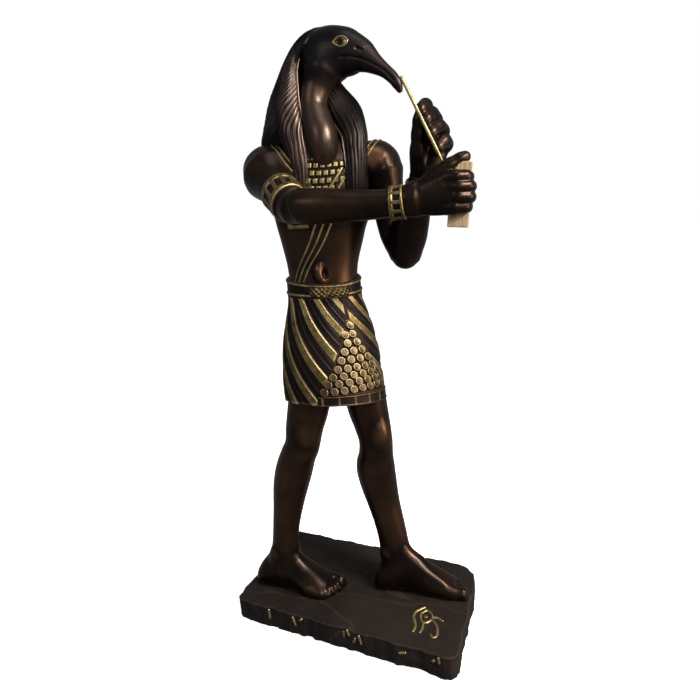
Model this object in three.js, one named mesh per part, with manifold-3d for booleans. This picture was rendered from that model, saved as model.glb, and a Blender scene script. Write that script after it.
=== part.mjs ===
// A cast figurine of the ibis-headed scribe: it walks along a rough plinth and writes on a small board.
// Millimetres, +Z up, +X the way it walks, -Y the side with the row of marks.
// The origin is the centre of the plinth's underside.

import * as THREE from "three";
import { mergeVertices } from "three/addons/utils/BufferGeometryUtils.js";
import Module from "manifold-3d";

const wasm = await Module();
wasm.setup();

// Driving dimensions
const plinthLength = 130.5;
const plinthWidth = 74;
const plinthHeight = 13;
const plinthSkew = 5.2; // how far the far side stands back, towards -X, from the marked side
const plinthCut = 3.5; // how much of each corner has been hewn off, along both of its sides
const plinthRipple = 1.4; // how far the hewn sides fall back between them
const notchLength = 10; // the piece broken off the far front corner
const notchWidth = 8;
const markDepth = 0.5; // how far the marks and the eye ornament stand out
const markRoot = 1.2; // how deep they are rooted in the block
const ornamentLength = 20; // the eye ornament, along the plinth's width
const ornamentInset = [22.8, 23.6]; // its pupil, from the front end and from the marked side
const figureSpot = [2, -1.7]; // the figure's own middle, from the plinth's
const figureHeight = 283; // from the soles to the top of the head
const stylusDiameter = 1.5;
const stylusLength = 38;
const tabletWidth = 8.4;
const tabletHeight = 25;
const tabletThickness = 2.8;
const clearance = 0.3; // between the hands and what they hold

// The free form is written in millimetres on a figure 283 high, so each value is a share of the height.
const unit = figureHeight / 283;
const degree = Math.PI / 180;

// Joining and cutting

function solidOf(geometry) {
  const bare = geometry.clone();
  bare.deleteAttribute("normal");
  bare.deleteAttribute("uv");
  const merged = mergeVertices(bare, 1e-4);
  return new wasm.Manifold(
    new wasm.Mesh({
      numProp: 3,
      vertProperties: new Float32Array(merged.attributes.position.array),
      triVerts: new Uint32Array(merged.index.array),
    }),
  );
}

function joined(solids) {
  return solids.reduce((whole, piece) => whole.add(piece));
}

function geometryOf(solid) {
  const mesh = solid.getMesh();
  const geometry = new THREE.BufferGeometry();
  geometry.setAttribute("position", new THREE.BufferAttribute(mesh.vertProperties, 3));
  geometry.setIndex(new THREE.BufferAttribute(mesh.triVerts, 1));
  geometry.computeVertexNormals();
  return geometry;
}

// Curves through rows of sizes

// Each column of the rows as a smooth function of the keys.
function through(keys, rows, key) {
  const last = keys.length - 1;
  let i = 0;
  while (i < last - 1 && key > keys[i + 1]) i++;
  const span = keys[i + 1] - keys[i];
  const t = (key - keys[i]) / span;
  const slope = (j, column) => {
    const before = Math.max(j - 1, 0);
    const after = Math.min(j + 1, last);
    return ((rows[after][column] - rows[before][column]) / (keys[after] - keys[before])) * span;
  };
  return rows[i].map((value, column) => {
    const change = rows[i + 1][column] - value;
    const leave = slope(i, column);
    const arrive = slope(i + 1, column);
    return value + t * (leave + t * (3 * change - 2 * leave - arrive + t * (leave + arrive - 2 * change)));
  });
}

function sectionPoint(centre, side, front, sizes, turn, out) {
  const [half, ahead, behind] = sizes;
  const depth = Math.cos(turn) > 0 ? ahead : behind;
  return centre
    .clone()
    .addScaledVector(side, (half + out) * Math.sin(turn))
    .addScaledVector(front, (depth + out) * Math.cos(turn))
    .multiplyScalar(unit);
}

// A form with level sections.
// Each row: height, x, y, half width, depth ahead, depth behind, azimuth it faces.
function levelForm(rows) {
  const keys = rows.map((row) => row[0]);
  return (turn, height, out = 0) => {
    const [z, x, y, half, ahead, behind, azimuth] = through(keys, rows, height);
    const side = new THREE.Vector3(Math.cos(azimuth * degree), Math.sin(azimuth * degree), 0);
    const front = new THREE.Vector3(side.y, -side.x, 0);
    return sectionPoint(new THREE.Vector3(x, y, z), side, front, [half, ahead, behind], turn, out);
  };
}

// A form with sections square to its centre line. Each row: x, y, z, half width, depth ahead, depth behind.
function limbForm(facing, rows) {
  const keys = rows.map((row, index) => index);
  const centre = (key) => new THREE.Vector3(...through(keys, rows, key).slice(0, 3));
  return (turn, key, out = 0) => {
    const along = centre(key + 0.01).sub(centre(key - 0.01)).normalize();
    const front = new THREE.Vector3(...facing);
    front.addScaledVector(along, -front.dot(along)).normalize();
    const side = along.clone().cross(front);
    return sectionPoint(centre(key), side, front, through(keys, rows, key).slice(3), turn, out);
  };
}

// The stops of a skin's rings, evenly from one key to another, with no relief.
function even(from, to, rings) {
  return Array.from({ length: rings + 1 }, (_, ring) => [from + ((to - from) * ring) / rings, 0]);
}

// The stops of a band round a form, with a raised rim along both of its edges.
function bandStops(from, to, rim, high = 1.1, low = 0.6) {
  const width = (to - from) * rim;
  const edge = 0.002;
  return [
    [from, 0],
    [from + edge, high],
    [from + width, high],
    [from + width + edge, low],
    [to - width - edge, low],
    [to - width, high],
    [to - edge, high],
    [to, 0],
  ];
}

// The closed skin of a form.
// A stop is a ring's key and relief; `shape` gives each column its turn and relief.
function skin(form, stops, sides, shape = (turn) => [turn, 0]) {
  const rings = stops.length - 1;
  const tube = new THREE.CylinderGeometry(1, 1, 1, sides, rings);
  const spots = tube.attributes.position;
  const point = (column, ring) => {
    const [key, relief] = stops[ring];
    const [turn, carved] = shape((column / sides) * 2 * Math.PI, column, ring / rings);
    return form(turn, key, relief + carved);
  };
  for (let i = 0; i < spots.count; i++) {
    const ring = Math.round((spots.getY(i) + 0.5) * rings);
    const turn = Math.atan2(spots.getX(i), spots.getZ(i));
    const column = (Math.round((turn / 2 / Math.PI) * sides) + sides) % sides;
    const onWall = Math.hypot(spots.getX(i), spots.getZ(i)) > 0.5;
    const middle = () => point(0, ring).add(point(sides / 2, ring)).multiplyScalar(0.5);
    const spot = onWall ? point(column, ring) : middle();
    spots.setXYZ(i, spot.x, spot.y, spot.z);
  }
  return solidOf(tube);
}

// A patch that lies on a form.
// `spot` gives the turn and key for shares across and up, `relief` its outer face.
function patch(form, across, up, spot, relief) {
  const root = 1;
  const slab = new THREE.BoxGeometry(1, 1, 1, across, up, 1);
  const spots = slab.attributes.position;
  for (let i = 0; i < spots.count; i++) {
    const u = spots.getX(i) + 0.5;
    const v = spots.getY(i) + 0.5;
    const [turn, key] = spot(u, v);
    const place = form(turn, key, spots.getZ(i) > 0 ? relief(u, v) : -root);
    spots.setXYZ(i, place.x, place.y, place.z);
  }
  return solidOf(slab);
}

function ball(centre, halves, sides, rings) {
  const sphere = new THREE.SphereGeometry(1, sides, rings);
  sphere.scale(...halves.map((half) => half * unit));
  sphere.translate(...centre.map((value) => value * unit));
  return solidOf(sphere);
}

// A raised ribbon through points on a plane. `place` puts it there, `root` is how deep it goes below it.
function ribbon(points, width, height, root, place) {
  const steps = points.length - 1;
  const slab = new THREE.BoxGeometry(1, 1, 1, steps, 1, 1);
  const spots = slab.attributes.position;
  for (let i = 0; i < spots.count; i++) {
    const step = Math.round((spots.getX(i) + 0.5) * steps);
    const [x0, y0] = points[Math.max(step - 1, 0)];
    const [x1, y1] = points[Math.min(step + 1, steps)];
    const length = Math.hypot(x1 - x0, y1 - y0);
    const aside = spots.getY(i) * width;
    const [x, y] = points[step];
    const level = spots.getZ(i) > 0 ? height : -root;
    spots.setXYZ(i, x - ((y1 - y0) / length) * aside, y + ((x1 - x0) / length) * aside, level);
  }
  return solidOf(slab.applyMatrix4(place));
}

// Body

const chestAzimuth = 28;
const hipAzimuth = 38;

const torso = levelForm([
  [160, -10, 0, 17.5, 12.5, 11.5, hipAzimuth],
  [172, -10.3, 0, 17, 12.3, 11, 33],
  [179, -10.2, 0.2, 17.7, 12, 10.5, chestAzimuth],
  [190, -9.6, 0.5, 20.2, 12.4, 11, chestAzimuth],
  [200, -9.3, 0.6, 22.4, 13.2, 12, chestAzimuth],
  [210, -8.5, 0.5, 24, 14, 13, chestAzimuth],
  [218, -7.5, 0.3, 24.6, 13.6, 13, chestAzimuth],
  [226, -6.5, 0.2, 22, 12, 12, chestAzimuth],
  [233, -5.5, 0, 15, 9, 10, chestAzimuth],
  [238, -5, 0, 8, 6.5, 7, chestAzimuth],
]);

const girdle = limbForm([0.47, -0.88, 0], [
  [-29.5, -13.3, 223.5, 9.3, 8.5, 8.5],
  [-17, -7, 225.5, 9.5, 9.5, 9.5],
  [-5, -0.5, 226.5, 10, 10.5, 10.5],
  [7, 5.5, 225.5, 9.5, 9.5, 9.5],
  [18, 11, 223, 9, 8.5, 8.5],
]);

const rightBlade = limbForm([0.47, -0.88, 0], [
  [-29.5, -12.5, 221, 9.5, 8.5, 9.5],
  [-24, -5.5, 212, 8.5, 8.5, 8.5],
  [-17, 1.5, 198, 6, 6, 6],
]);

const leftBlade = limbForm([0.47, -0.88, 0], [
  [17, 12, 220.5, 9, 8, 9],
  [9, 9.5, 211, 8.5, 8.5, 8.5],
  [0.5, 6.5, 198, 6, 6, 6],
]);

const neck = limbForm([0.6, -0.8, 0], [
  [-1, -1, 266, 8, 9, 9],
  [-5.6, -3.4, 257, 6.7, 7.2, 7.6],
  [-6.5, -4.8, 249.5, 6.4, 6.9, 7.2],
  [-4.4, -6.4, 242.5, 7.1, 7.5, 7.2],
  [-2.2, -7.5, 236, 7.5, 8.4, 7.6],
  [-1.8, -7.4, 230, 7.1, 8.1, 7.6],
  [-3, -5, 224, 6.2, 6.4, 6.8],
]);

const head = limbForm([0, -1, 0], [
  [-15, 0, 268, 5, 4.5, 4.5],
  [-8, 0, 270, 10.3, 8.2, 8.2],
  [0, 0, 271.3, 11.6, 9.4, 9.4],
  [7.7, 0, 270.8, 10.6, 8.8, 8.8],
  [12.6, 0, 269.5, 9, 7.4, 7.4],
  [16.5, 0, 268.1, 7.2, 5.9, 5.9],
  [19.2, 0, 266.4, 5.8, 4.8, 4.8],
  [22.3, 0, 264.1, 4.3, 3.9, 3.9],
  [26.7, 0, 260.8, 3, 3, 3],
  [30.3, 0, 257.5, 2.6, 2.5, 2.5],
  [32.7, 0, 254, 2.2, 2, 2],
  [33.9, 0, 250.8, 1, 1, 1],
]);

// Arms

const rightUpperArm = limbForm([0.5, -0.6, -0.6], [
  [-30, -13.5, 223, 10.6, 10.6, 10.6],
  [-24, -18.5, 217.8, 9.2, 9.2, 9.2],
  [-15, -25, 211.6, 7.8, 7.8, 7.8],
  [-6, -31.5, 206, 7.6, 7.6, 7.6],
  [2, -36, 203.5, 6.9, 6.9, 6.9],
]);

const rightForearm = limbForm([0, -1, 0], [
  [-3, -35.5, 204.5, 5.2, 5, 5],
  [3, -35.2, 205.1, 7.3, 7, 7],
  [14, -33.4, 204.6, 7.1, 6.8, 6.8],
  [28, -30.8, 203.9, 6.1, 5.8, 5.8],
  [41, -28.5, 204, 5.6, 4.8, 4.8],
  [48, -27.3, 204.6, 6.2, 4.2, 4.2],
]);

const leftUpperArm = limbForm([0.47, -0.88, 0], [
  [18, 11, 224, 9.5, 9.8, 9.8],
  [20, 11, 214, 8.4, 8.8, 8.8],
  [23.4, 10.3, 201, 8.3, 8, 8],
  [27.2, 8.7, 190, 8.6, 7.6, 7.6],
  [30.8, 6.5, 180.5, 6.8, 6.4, 6.4],
]);

const leftForearm = limbForm([0.47, -0.88, 0], [
  [30.3, 6.3, 177.3, 5, 4.6, 4.6],
  [33.5, 4, 187, 7.8, 7.4, 7.4],
  [37, 0.5, 196, 7.6, 7, 7],
  [41, -3.5, 205.5, 6.3, 5.8, 5.8],
  [45, -7, 214, 5.4, 4.8, 4.8],
]);

// Hands

const rightPalm = limbForm([0, -1, 0], [
  [45, -27.8, 204.3, 5.6, 4.2, 4.2],
  [50, -27, 205.2, 7, 3.9, 3.9],
  [57, -26.5, 206, 8.2, 3.5, 3.5],
  [63.5, -26, 206.4, 8, 2.8, 2.6],
]);

const leftPalm = limbForm([0.43, -0.9, 0], [
  [44.8, -6.8, 212, 5.4, 4.6, 4.6],
  [46.5, -7.6, 218, 6.8, 4.6, 4],
  [48.2, -7.3, 225.5, 8.2, 4.2, 3.8],
  [50.7, -5.5, 232.5, 7, 3.4, 3.2],
]);

// A finger, or a thumb, through its joints: each row is x, y, z and half the thickness of the finger there.
function finger(rows) {
  const form = limbForm([0.01, -1, 0.02], rows.map(([x, y, z, half]) => [x, y, z, half, half, half]));
  return skin(form, even(0, rows.length - 1, rows.length - 1), 6);
}

// The right hand's four fingers, side by side round the edge of the board.
const rightFingers = limbForm([0, -1, 0], [
  [60, -25.9, 206.2, 7.6, 2.3, 2.3],
  [65.2, -26, 206.2, 7.8, 2.4, 2.4],
  [69.1, -23.6, 206.2, 7.8, 2.2, 2.2],
  [68.9, -19.8, 206.2, 7.6, 2.1, 2.1],
  [64.6, -18.4, 206.2, 7.4, 2, 2],
  [61.6, -18.6, 206.2, 6.8, 1, 1],
]);
const fingersInRow = 4;
const fingerRelief = [-1, 0.1, -0.7, 0.8, 0.2]; // furrows and backs from the middle out to the end finger

function besideEachOther(turn, column) {
  const quarter = fingersInRow;
  const place = column % (2 * quarter);
  const step = place > quarter ? 2 * quarter - place : place;
  const lean = Math.asin(step / quarter);
  const half = Math.floor(column / (2 * quarter)) * Math.PI;
  return [half + (place > quarter ? Math.PI - lean : lean), fingerRelief[step]];
}

const rightThumb = [
  [50, -26, 208.6, 3],
  [55.5, -24.6, 213, 2.9],
  [61, -22.8, 216.4, 2.7],
  [65, -21.2, 218.6, 2.3],
  [66.8, -20.4, 219.6, 0.9],
];

const leftThumb = [
  [45.2, -9.5, 217, 3.2],
  [45, -12, 224, 3],
  [45.5, -13.6, 231, 2.4],
  [46.3, -14.6, 236.2, 2],
  [46.7, -14.9, 238.2, 0.8],
];

const leftFingers = [
  [
    [48, -5, 232.5, 2.5],
    [47, -4.6, 239, 2.5],
    [46.3, -9, 242.4, 2.4],
    [46.6, -13.8, 240.4, 2.1],
    [46.7, -15, 239.4, 0.9],
  ],
  [
    [50.2, -4.6, 231, 2.5],
    [50.6, -4.4, 236.5, 2.5],
    [50, -9, 238.8, 2.5],
    [49.4, -14, 236, 2.3],
    [49.4, -14.8, 234, 0.9],
  ],
  [
    [51.6, -4.6, 229, 2.5],
    [53.4, -4.6, 232, 2.5],
    [52.8, -9.4, 233.6, 2.5],
    [51.4, -14, 230.6, 2.3],
    [51.2, -14.6, 228.6, 0.9],
  ],
  [
    [51.6, -5.5, 223.5, 2.4],
    [55.2, -5.6, 226.3, 2.3],
    [55.4, -9.8, 227.6, 2.3],
    [53.8, -13.4, 224.6, 2.1],
    [53.2, -13.8, 222.8, 0.8],
  ],
];

function armSolids() {
  const armlet = [
    ...even(0, 1.85, 2).slice(0, -1),
    ...bandStops(1.85, 2.8, 0.17),
    ...even(2.8, 4, 2).slice(1),
  ];
  const bracelet = [...even(0, 3.75, 4).slice(0, -1), ...bandStops(3.75, 4.33, 0.18), [5, 0]];
  const farBracelet = [...even(0, 3.2, 2), [3.202, 1.1], [3.748, 1.1], [3.75, 0], [4, 0]];
  return [
    ball([-29.6, -13.3, 223], [10.8, 10.8, 11.2], 10, 6),
    ball([18, 11, 222.5], [10.3, 10.3, 10.8], 10, 6),
    skin(rightUpperArm, armlet, 10),
    skin(rightForearm, bracelet, 10),
    skin(leftUpperArm, even(0, 4, 5), 10),
    skin(leftForearm, farBracelet, 10),
    skin(rightPalm, even(0, 3, 3), 8),
    skin(leftPalm, even(0, 3, 3), 8),
    skin(rightFingers, even(0, 5, 5), 4 * fingersInRow, besideEachOther),
    finger(rightThumb),
    finger(leftThumb),
    ...leftFingers.map((rows) => finger(rows)),
  ];
}

// Legs and feet

const rightLeg = limbForm([0.88, -0.47, 0], [
  [-14.5, -9.5, 128, 11.4, 11.4, 11.2],
  [-19, -10.5, 107, 10.6, 11, 10.8],
  [-22, -11, 96, 9.7, 10.2, 9.8],
  [-24.3, -11.2, 86, 9, 10, 9],
  [-27.1, -11.3, 79, 9.2, 9.2, 10.4],
  [-30.3, -11.4, 70, 9.8, 9, 11.4],
  [-33.3, -11.6, 60, 9.4, 8.4, 10.8],
  [-35.9, -11.8, 49, 8.3, 7.6, 9],
  [-38.3, -12, 38, 7.4, 7.3, 7.6],
  [-39.8, -12, 29, 7.2, 7.6, 7.2],
  [-41, -12, 19, 7.4, 8, 7.8],
  [-41.5, -12, 8, 7, 7, 7.6],
]);

const leftLeg = limbForm([0.9, -0.44, 0], [
  [2.5, 7.5, 128, 11.1, 11.1, 11.1],
  [5.2, 8.4, 105, 10.5, 11.1, 10.9],
  [7.4, 8.5, 94, 9.5, 10.4, 9.7],
  [8.9, 8.5, 85, 8.7, 10, 8.7],
  [9.2, 8.6, 77, 8.9, 9.1, 10.1],
  [8.8, 8.7, 69, 10.2, 9.4, 11.8],
  [9.9, 8.8, 60, 9.9, 8.9, 11.2],
  [12, 8.9, 49, 8.7, 8.2, 9.6],
  [14.4, 9, 38, 8, 8, 8.6],
  [16, 9, 29, 7.7, 8.5, 8.4],
  [17.1, 9, 19, 7.8, 8.6, 8.6],
  [17.4, 9, 8, 6.9, 6.9, 7.7],
]);

// A foot's rows: distance from the back of the heel, half width, height, drift towards the big toe.
const footRows = [
  [0, 3.6, 7, 0],
  [3, 6.4, 12, 0],
  [9, 7.4, 19, 0],
  [17, 7.5, 25, 0],
  [25, 7.8, 20.5, 0.3],
  [32, 8.5, 14.8, 0.6],
  [38.5, 9.1, 10.6, 0.6],
  [43.5, 8.6, 7.4, 0.8],
];

// Each toe: distance of its tip from the heel, place across the foot, half width, height.
const toeRows = [
  [51, 5.9, 3.2, 6.6],
  [50, 1.5, 2.4, 5.6],
  [48, -2.2, 2.3, 5.3],
  [45.9, -5.2, 2.2, 5],
  [43.4, -7.4, 2.1, 4.6],
];

// heel: x and y of the back of the heel. azimuth: the way the foot points, from +X.
// inner: the side of the big toe.
function footSolids(heel, azimuth, inner) {
  const along = new THREE.Vector3(Math.cos(azimuth * degree), Math.sin(azimuth * degree), 0);
  const across = new THREE.Vector3(-along.y, along.x, 0).multiplyScalar(inner);
  const place = (distance, offset, height) =>
    new THREE.Vector3(heel[0], heel[1], height)
      .addScaledVector(along, distance)
      .addScaledVector(across, offset)
      .multiplyScalar(unit);
  const keys = footRows.map((row) => row[0]);
  const sole = (turn) => Math.max(Math.cos(turn) * 0.5 + 0.5, 0);
  const wide = (turn) => Math.sign(Math.sin(turn)) * Math.abs(Math.sin(turn)) ** 0.75;
  const section = (turn, distance) => {
    const [d, half, top, drift] = through(keys, footRows, distance);
    const rise = sole(turn) ** 1.15;
    const flank = wide(turn) * (1 - 0.32 * rise ** 2);
    return place(d, drift + half * flank * inner * -1, top * rise);
  };
  const toes = toeRows.map(([tip, offset, half, top]) => {
    const rows = [
      [tip - 14, offset * 0.92, half, top * 1.05],
      [tip - 7, offset, half, top * 0.92],
      [tip - 3, offset, half * 1.02, top],
      [tip - 1, offset, half * 0.85, top * 0.8],
      [tip, offset, half * 0.35, top * 0.35],
    ];
    const toeKeys = rows.map((row) => row[0]);
    const toe = (turn, distance) => {
      const [d, shift, width, high] = through(toeKeys, rows, distance);
      return place(d, shift + width * Math.sin(turn) * inner * -1, (high * (1 + Math.cos(turn))) / 2);
    };
    return skin(toe, [[tip - 10, 0], [tip - 2.5, 0], [tip, 0]], 6);
  });
  return [skin(section, even(0, 43.5, 6), 10), ...toes];
}

// Kilt, apron and belt

const kiltTop = 166;
const hemHeight = 110;
const hemTilt = 2.3; // how much the hem stands higher at its highest place and lower across from it
const hemTiltTurn = -60 * degree; // where it stands highest
const hemBand = 4.7;
const pleatCount = 14;
const pleatTurn = -57.4 * degree; // where one pleat's ridge begins, at the kilt's top
const pleatTwist = 1.22; // how far round a pleat runs between the belt and the hem
const pleatFan = 0.29; // how much flatter the pleats run on the side of the apron than across from it
const pleatFanTurn = 80 * degree;
const pleatDepth = 0.7;
const pleatStops = [0, 0.38, 0.47]; // ridge, ridge, furrow

// The kilt's rows, as levelForm takes them, but with the height as a share from the hem to the top.
const kiltRows = [
  [0, -7.6, -1.2, 25.7, 18.3, 18, hipAzimuth],
  [0.21, -8.2, -0.9, 25.3, 17.8, 17, hipAzimuth],
  [0.45, -8.8, -0.5, 24.1, 16.9, 15.8, hipAzimuth],
  [0.68, -9.5, 0, 21.7, 15.4, 14.2, hipAzimuth],
  [0.89, -10, 0, 18.4, 13.4, 12.6, hipAzimuth],
  [1, -10.2, 0, 17.7, 12.7, 11.8, hipAzimuth],
];
const kiltSpan = kiltTop - hemHeight;
const levelKilt = levelForm(kiltRows.map(([share, ...row]) => [hemHeight + kiltSpan * share, ...row]));

function kilt(turn, height, out) {
  const spot = levelKilt(turn, height, out);
  const low = ((kiltTop - height) / kiltSpan) ** 3;
  return spot.setZ(spot.z + hemTilt * Math.cos(turn - hemTiltTurn) * low * unit);
}

// How far along the pleats' own measure a turn lies. A pleat moves evenly along it on its way down.
function fanned(turn) {
  return (1 - pleatFan) * turn - pleatFan * Math.sin(turn - pleatFanTurn);
}

// Where a pleat that leaves the kilt's top at a turn has got to, at a share of the way down.
function pleatAt(start, down) {
  const goal = fanned(start) + pleatTwist * down;
  let turn = start;
  for (let step = 0; step < 12; step++) {
    turn += (goal - fanned(turn)) / (1 - pleatFan - pleatFan * Math.cos(turn - pleatFanTurn));
  }
  return turn;
}

const apronTurn = 20.5 * degree;
const apronHalf = [43 * degree, 3.5 * degree]; // at its foot and at its peak
const apronBottom = hemHeight + hemBand;
const apronTop = kiltTop - 14;
const scaleRows = 7;
const scaleRelief = [0.9, 2]; // between the scales and at their middles
const apronHem = [-27 * degree, 86 * degree]; // from where to where the dark band runs along the hem
const apronHemRelief = 1.1;
const overhang = 0.3; // how far the band stands below the hem

function apronSolids() {
  const spot = (u, v) => [
    apronTurn + (2 * u - 1) * (apronHalf[0] + (apronHalf[1] - apronHalf[0]) * v),
    apronBottom + (apronTop - apronBottom) * v,
  ];
  const scale = (u, v) => scaleRelief[(Math.round(u * scaleRows * 2) + Math.round(v * scaleRows)) % 2];
  const bandSpot = (u, v) => [
    apronHem[0] + (apronHem[1] - apronHem[0]) * u,
    hemHeight - overhang + (hemBand + overhang) * v,
  ];
  return [
    patch(kilt, scaleRows * 2, scaleRows, spot, scale),
    patch(kilt, 6, 1, bandSpot, () => apronHemRelief),
  ];
}

const beltLow = 163.5;
const beltHigh = 173.5;
const beltDip = 4.1; // how far its upper edge hangs lower in front than behind
const beltDipTurn = 15 * degree;
const lowEdgeShare = 0.3; // its lower edge hangs lower by this share of that

function beltForm(turn, height, out) {
  const share = (height - beltLow) / (beltHigh - beltLow);
  const front = (0.5 + 0.5 * Math.cos(turn - beltDipTurn)) ** 2;
  const spot = torso(turn, height, out);
  return spot.setZ(spot.z - beltDip * front * (lowEdgeShare + (1 - lowEdgeShare) * share) * unit);
}

const knotTurn = 2 * degree; // where the belt's knot lies
const knotHalf = 37 * degree;
const knotLow = 164.7;
const knotRise = 7.4;
const knotFolds = 6;

function knotted(u, v) {
  const across = Math.round(u * knotFolds);
  const bulge = 1.6 * Math.sin(Math.PI * Math.min(Math.max(u, 0.08), 0.92)) + (across % 2 ? 0.5 : 0);
  return 2 + bulge * (v > 0.25 && v < 0.75 ? 1 : 0.45);
}

function kiltSolids() {
  const pleated = (turn, column, rise) => {
    const stop = column % pleatStops.length;
    const pleat = (column - stop) / pleatStops.length;
    const start = pleatTurn + ((pleat + pleatStops[stop]) * 2 * Math.PI) / pleatCount;
    return [pleatAt(start, 1 - rise), stop < 2 ? pleatDepth : 0];
  };
  const knotSpot = (u, v) => [knotTurn + (2 * u - 1) * knotHalf, knotLow + knotRise * v];
  return [
    skin(kilt, even(hemHeight, kiltTop, 5), pleatCount * pleatStops.length, pleated),
    ...apronSolids(),
    skin(beltForm, bandStops(beltLow, beltHigh, 0.16, 2.3, 1.6), 16),
    patch(beltForm, knotFolds, 2, knotSpot, knotted),
  ];
}

// Collar, straps and sash, raised on the torso

const collarRows = 3;
const collarHalf = 50 * degree;
const collarLow = 211.5;
const collarTop = 232;
const collarCurve = 4; // how much higher its lower edge ends than it hangs in the middle

// The sash's first line: its height and its turn in degrees.
const sashRows = [
  [171, -57],
  [185, -25],
  [197, -8.5],
  [213, 8],
];
const sashLines = 3;
const sashSpacing = 9.5;
const sashHalf = 1.4;
const dressRelief = 0.6;
const chestBandTurns = [-46 * degree, -8 * degree];
const chestBandLow = 198.4;
const chestBandWidth = 3.2;

function dressSolids() {
  const collar = patch(
    torso,
    6,
    collarRows * 2,
    (u, v) => {
      const across = 2 * u - 1;
      const level = collarLow + (collarTop - collarLow) * v;
      return [across * collarHalf, level + collarCurve * across ** 2 * (1 - v)];
    },
    (u, v) => (Math.round(v * collarRows * 2) % 2 ? 1.3 : dressRelief),
  );
  const keys = sashRows.map((row) => row[0]);
  const sash = Array.from({ length: sashLines }, (_, line) =>
    patch(
      torso,
      1,
      4,
      (u, v) => {
        const [height, turn] = through(keys, sashRows, keys[0] + (keys.at(-1) - keys[0]) * v);
        return [(turn + sashSpacing * line + (2 * u - 1) * sashHalf) * degree, height];
      },
      () => dressRelief,
    ),
  );
  const chestBand = patch(
    torso,
    3,
    1,
    (u, v) => [
      chestBandTurns[0] + (chestBandTurns[1] - chestBandTurns[0]) * u,
      chestBandLow + chestBandWidth * v,
    ],
    () => dressRelief,
  );
  return [collar, chestBand, ...sash];
}

// Wig

const lockDepth = 0.7;
const hoodLocks = 12;
const lappetLocks = 6;

const hood = levelForm([
  [206, -12.5, 7.5, 16.5, 6, 9.5, 28],
  [214, -13, 7, 20, 7, 11, 30],
  [226, -12.8, 6, 24, 8, 15, 38],
  [236, -13.8, 4, 24, 8.5, 19.2, 50],
  [245, -15, 3, 19.8, 7, 20, 64],
  [254, -15.2, 2, 15, 4.5, 18.2, 76],
  [263, -13.8, 1, 11.6, 3, 13.4, 84],
  [271, -11, 0.3, 9.6, 2.6, 10.6, 88],
  [277, -8, 0, 7.9, 6.5, 8.2, 90],
  [281, -6, 0, 5, 6.5, 5, 90],
  [283, -4.5, 0, 1.6, 2.5, 2.5, 90],
]);

const rightLappet = limbForm([0.47, -0.88, 0], [
  [-11, -14.1, 207, 4.8, 3.4, 3],
  [-10.4, -13.6, 219, 5, 3.8, 3],
  [-11.4, -12.8, 229.5, 5.7, 4.4, 4],
  [-14.3, -12.2, 239.5, 6.5, 4.6, 5],
  [-16.2, -11.2, 249.5, 5.9, 4, 5],
  [-15.8, -10, 258, 4.6, 3.4, 4],
  [-14.9, -8.8, 266, 3.4, 2.8, 3.4],
  [-12.6, -6.8, 272.5, 2.6, 2.2, 3],
  [-8, -3.4, 278, 2, 1.8, 2.4],
]);

const leftLappet = limbForm([0.47, -0.88, 0], [
  [12.6, -5, 207, 5.3, 3.4, 3],
  [12.7, -4.4, 214, 5.2, 3.8, 3],
  [12.2, -2.8, 222, 5.4, 4.4, 3],
  [11.2, -1, 230, 5.8, 5, 3.6],
  [9.8, 1, 237, 6.5, 5.5, 4],
  [5.3, 3.6, 246, 7.8, 5.5, 5],
  [0.3, 4.3, 255, 5.8, 5, 5],
  [-3.7, 4.6, 263, 4.1, 4, 4],
]);

function fluted(turn, column, rise) {
  return [turn, column % 2 ? 0 : lockDepth * Math.min(1, 6 * (1 - rise))];
}

function wigSolids() {
  return [
    skin(hood, even(206, 283, 7), hoodLocks * 2, fluted),
    skin(rightLappet, even(0, 8, 7), lappetLocks * 2, fluted),
    skin(leftLappet, even(0, 7, 5), lappetLocks * 2, fluted),
  ];
}

// Head, with the mouth line sunk into both sides of the beak and a rimmed eye on each side

const eyeSpot = [10.7, 7.5, 273.1]; // the middle of the far side's eye
const eyeLean = 12 * degree; // how far an eye looks up
const eyeSplay = 16 * degree; // and how far forward
const eyeSize = [3.5, 2.3]; // half its length and half its height, at the middle of the rim
const eyeSink = 0.7; // how deep the eyeball's middle lies

function headSolids() {
  const sides = 12;
  const mouth = (turn, column, rise) => {
    const onLine = (column === 1 || column === sides / 2 - 1) && rise > 0.35;
    return [turn, onLine ? -0.45 : 0];
  };
  const eyes = [-1, 1].flatMap((side) => {
    const rim = new THREE.TorusGeometry(1, 0.2, 3, 8);
    rim.scale(...eyeSize, 3);
    rim.rotateX(Math.PI / 2 + side * eyeLean);
    rim.rotateZ(-side * eyeSplay);
    const [ahead, aside, level] = eyeSpot;
    rim.translate(ahead, side * aside, level);
    rim.scale(unit, unit, unit);
    const halves = [eyeSize[0] - 0.8, 1.5, eyeSize[1] - 0.4];
    return [solidOf(rim), ball([ahead, side * (aside - eyeSink), level], halves, 6, 3)];
  });
  return [skin(head, even(0, 11, 10), sides, mouth), skin(neck, even(0, 6, 5), 8), ...eyes];
}

// What the hands hold

const tabletSpot = new THREE.Vector3(64.6, -22.3, 205.3).multiplyScalar(unit);
const tabletTurn = new THREE.Euler(0, 4.8 * degree, 14 * degree, "ZYX");
const stylusTop = new THREE.Vector3(40.4, -17, 252.9).multiplyScalar(unit);
const stylusAim = new THREE.Vector3(57, -18.4, 218.5).multiplyScalar(unit);

const stylusLine = stylusAim.clone().sub(stylusTop).normalize();
const stylusTurn = new THREE.Quaternion().setFromUnitVectors(new THREE.Vector3(0, -1, 0), stylusLine);
const stylusMiddle = stylusTop.clone().addScaledVector(stylusLine, stylusLength / 2);

function tabletShape(grow) {
  const width = tabletWidth + 2 * grow;
  const height = tabletHeight + 2 * grow;
  return new THREE.BoxGeometry(width, tabletThickness + 2 * grow, height);
}

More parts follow.
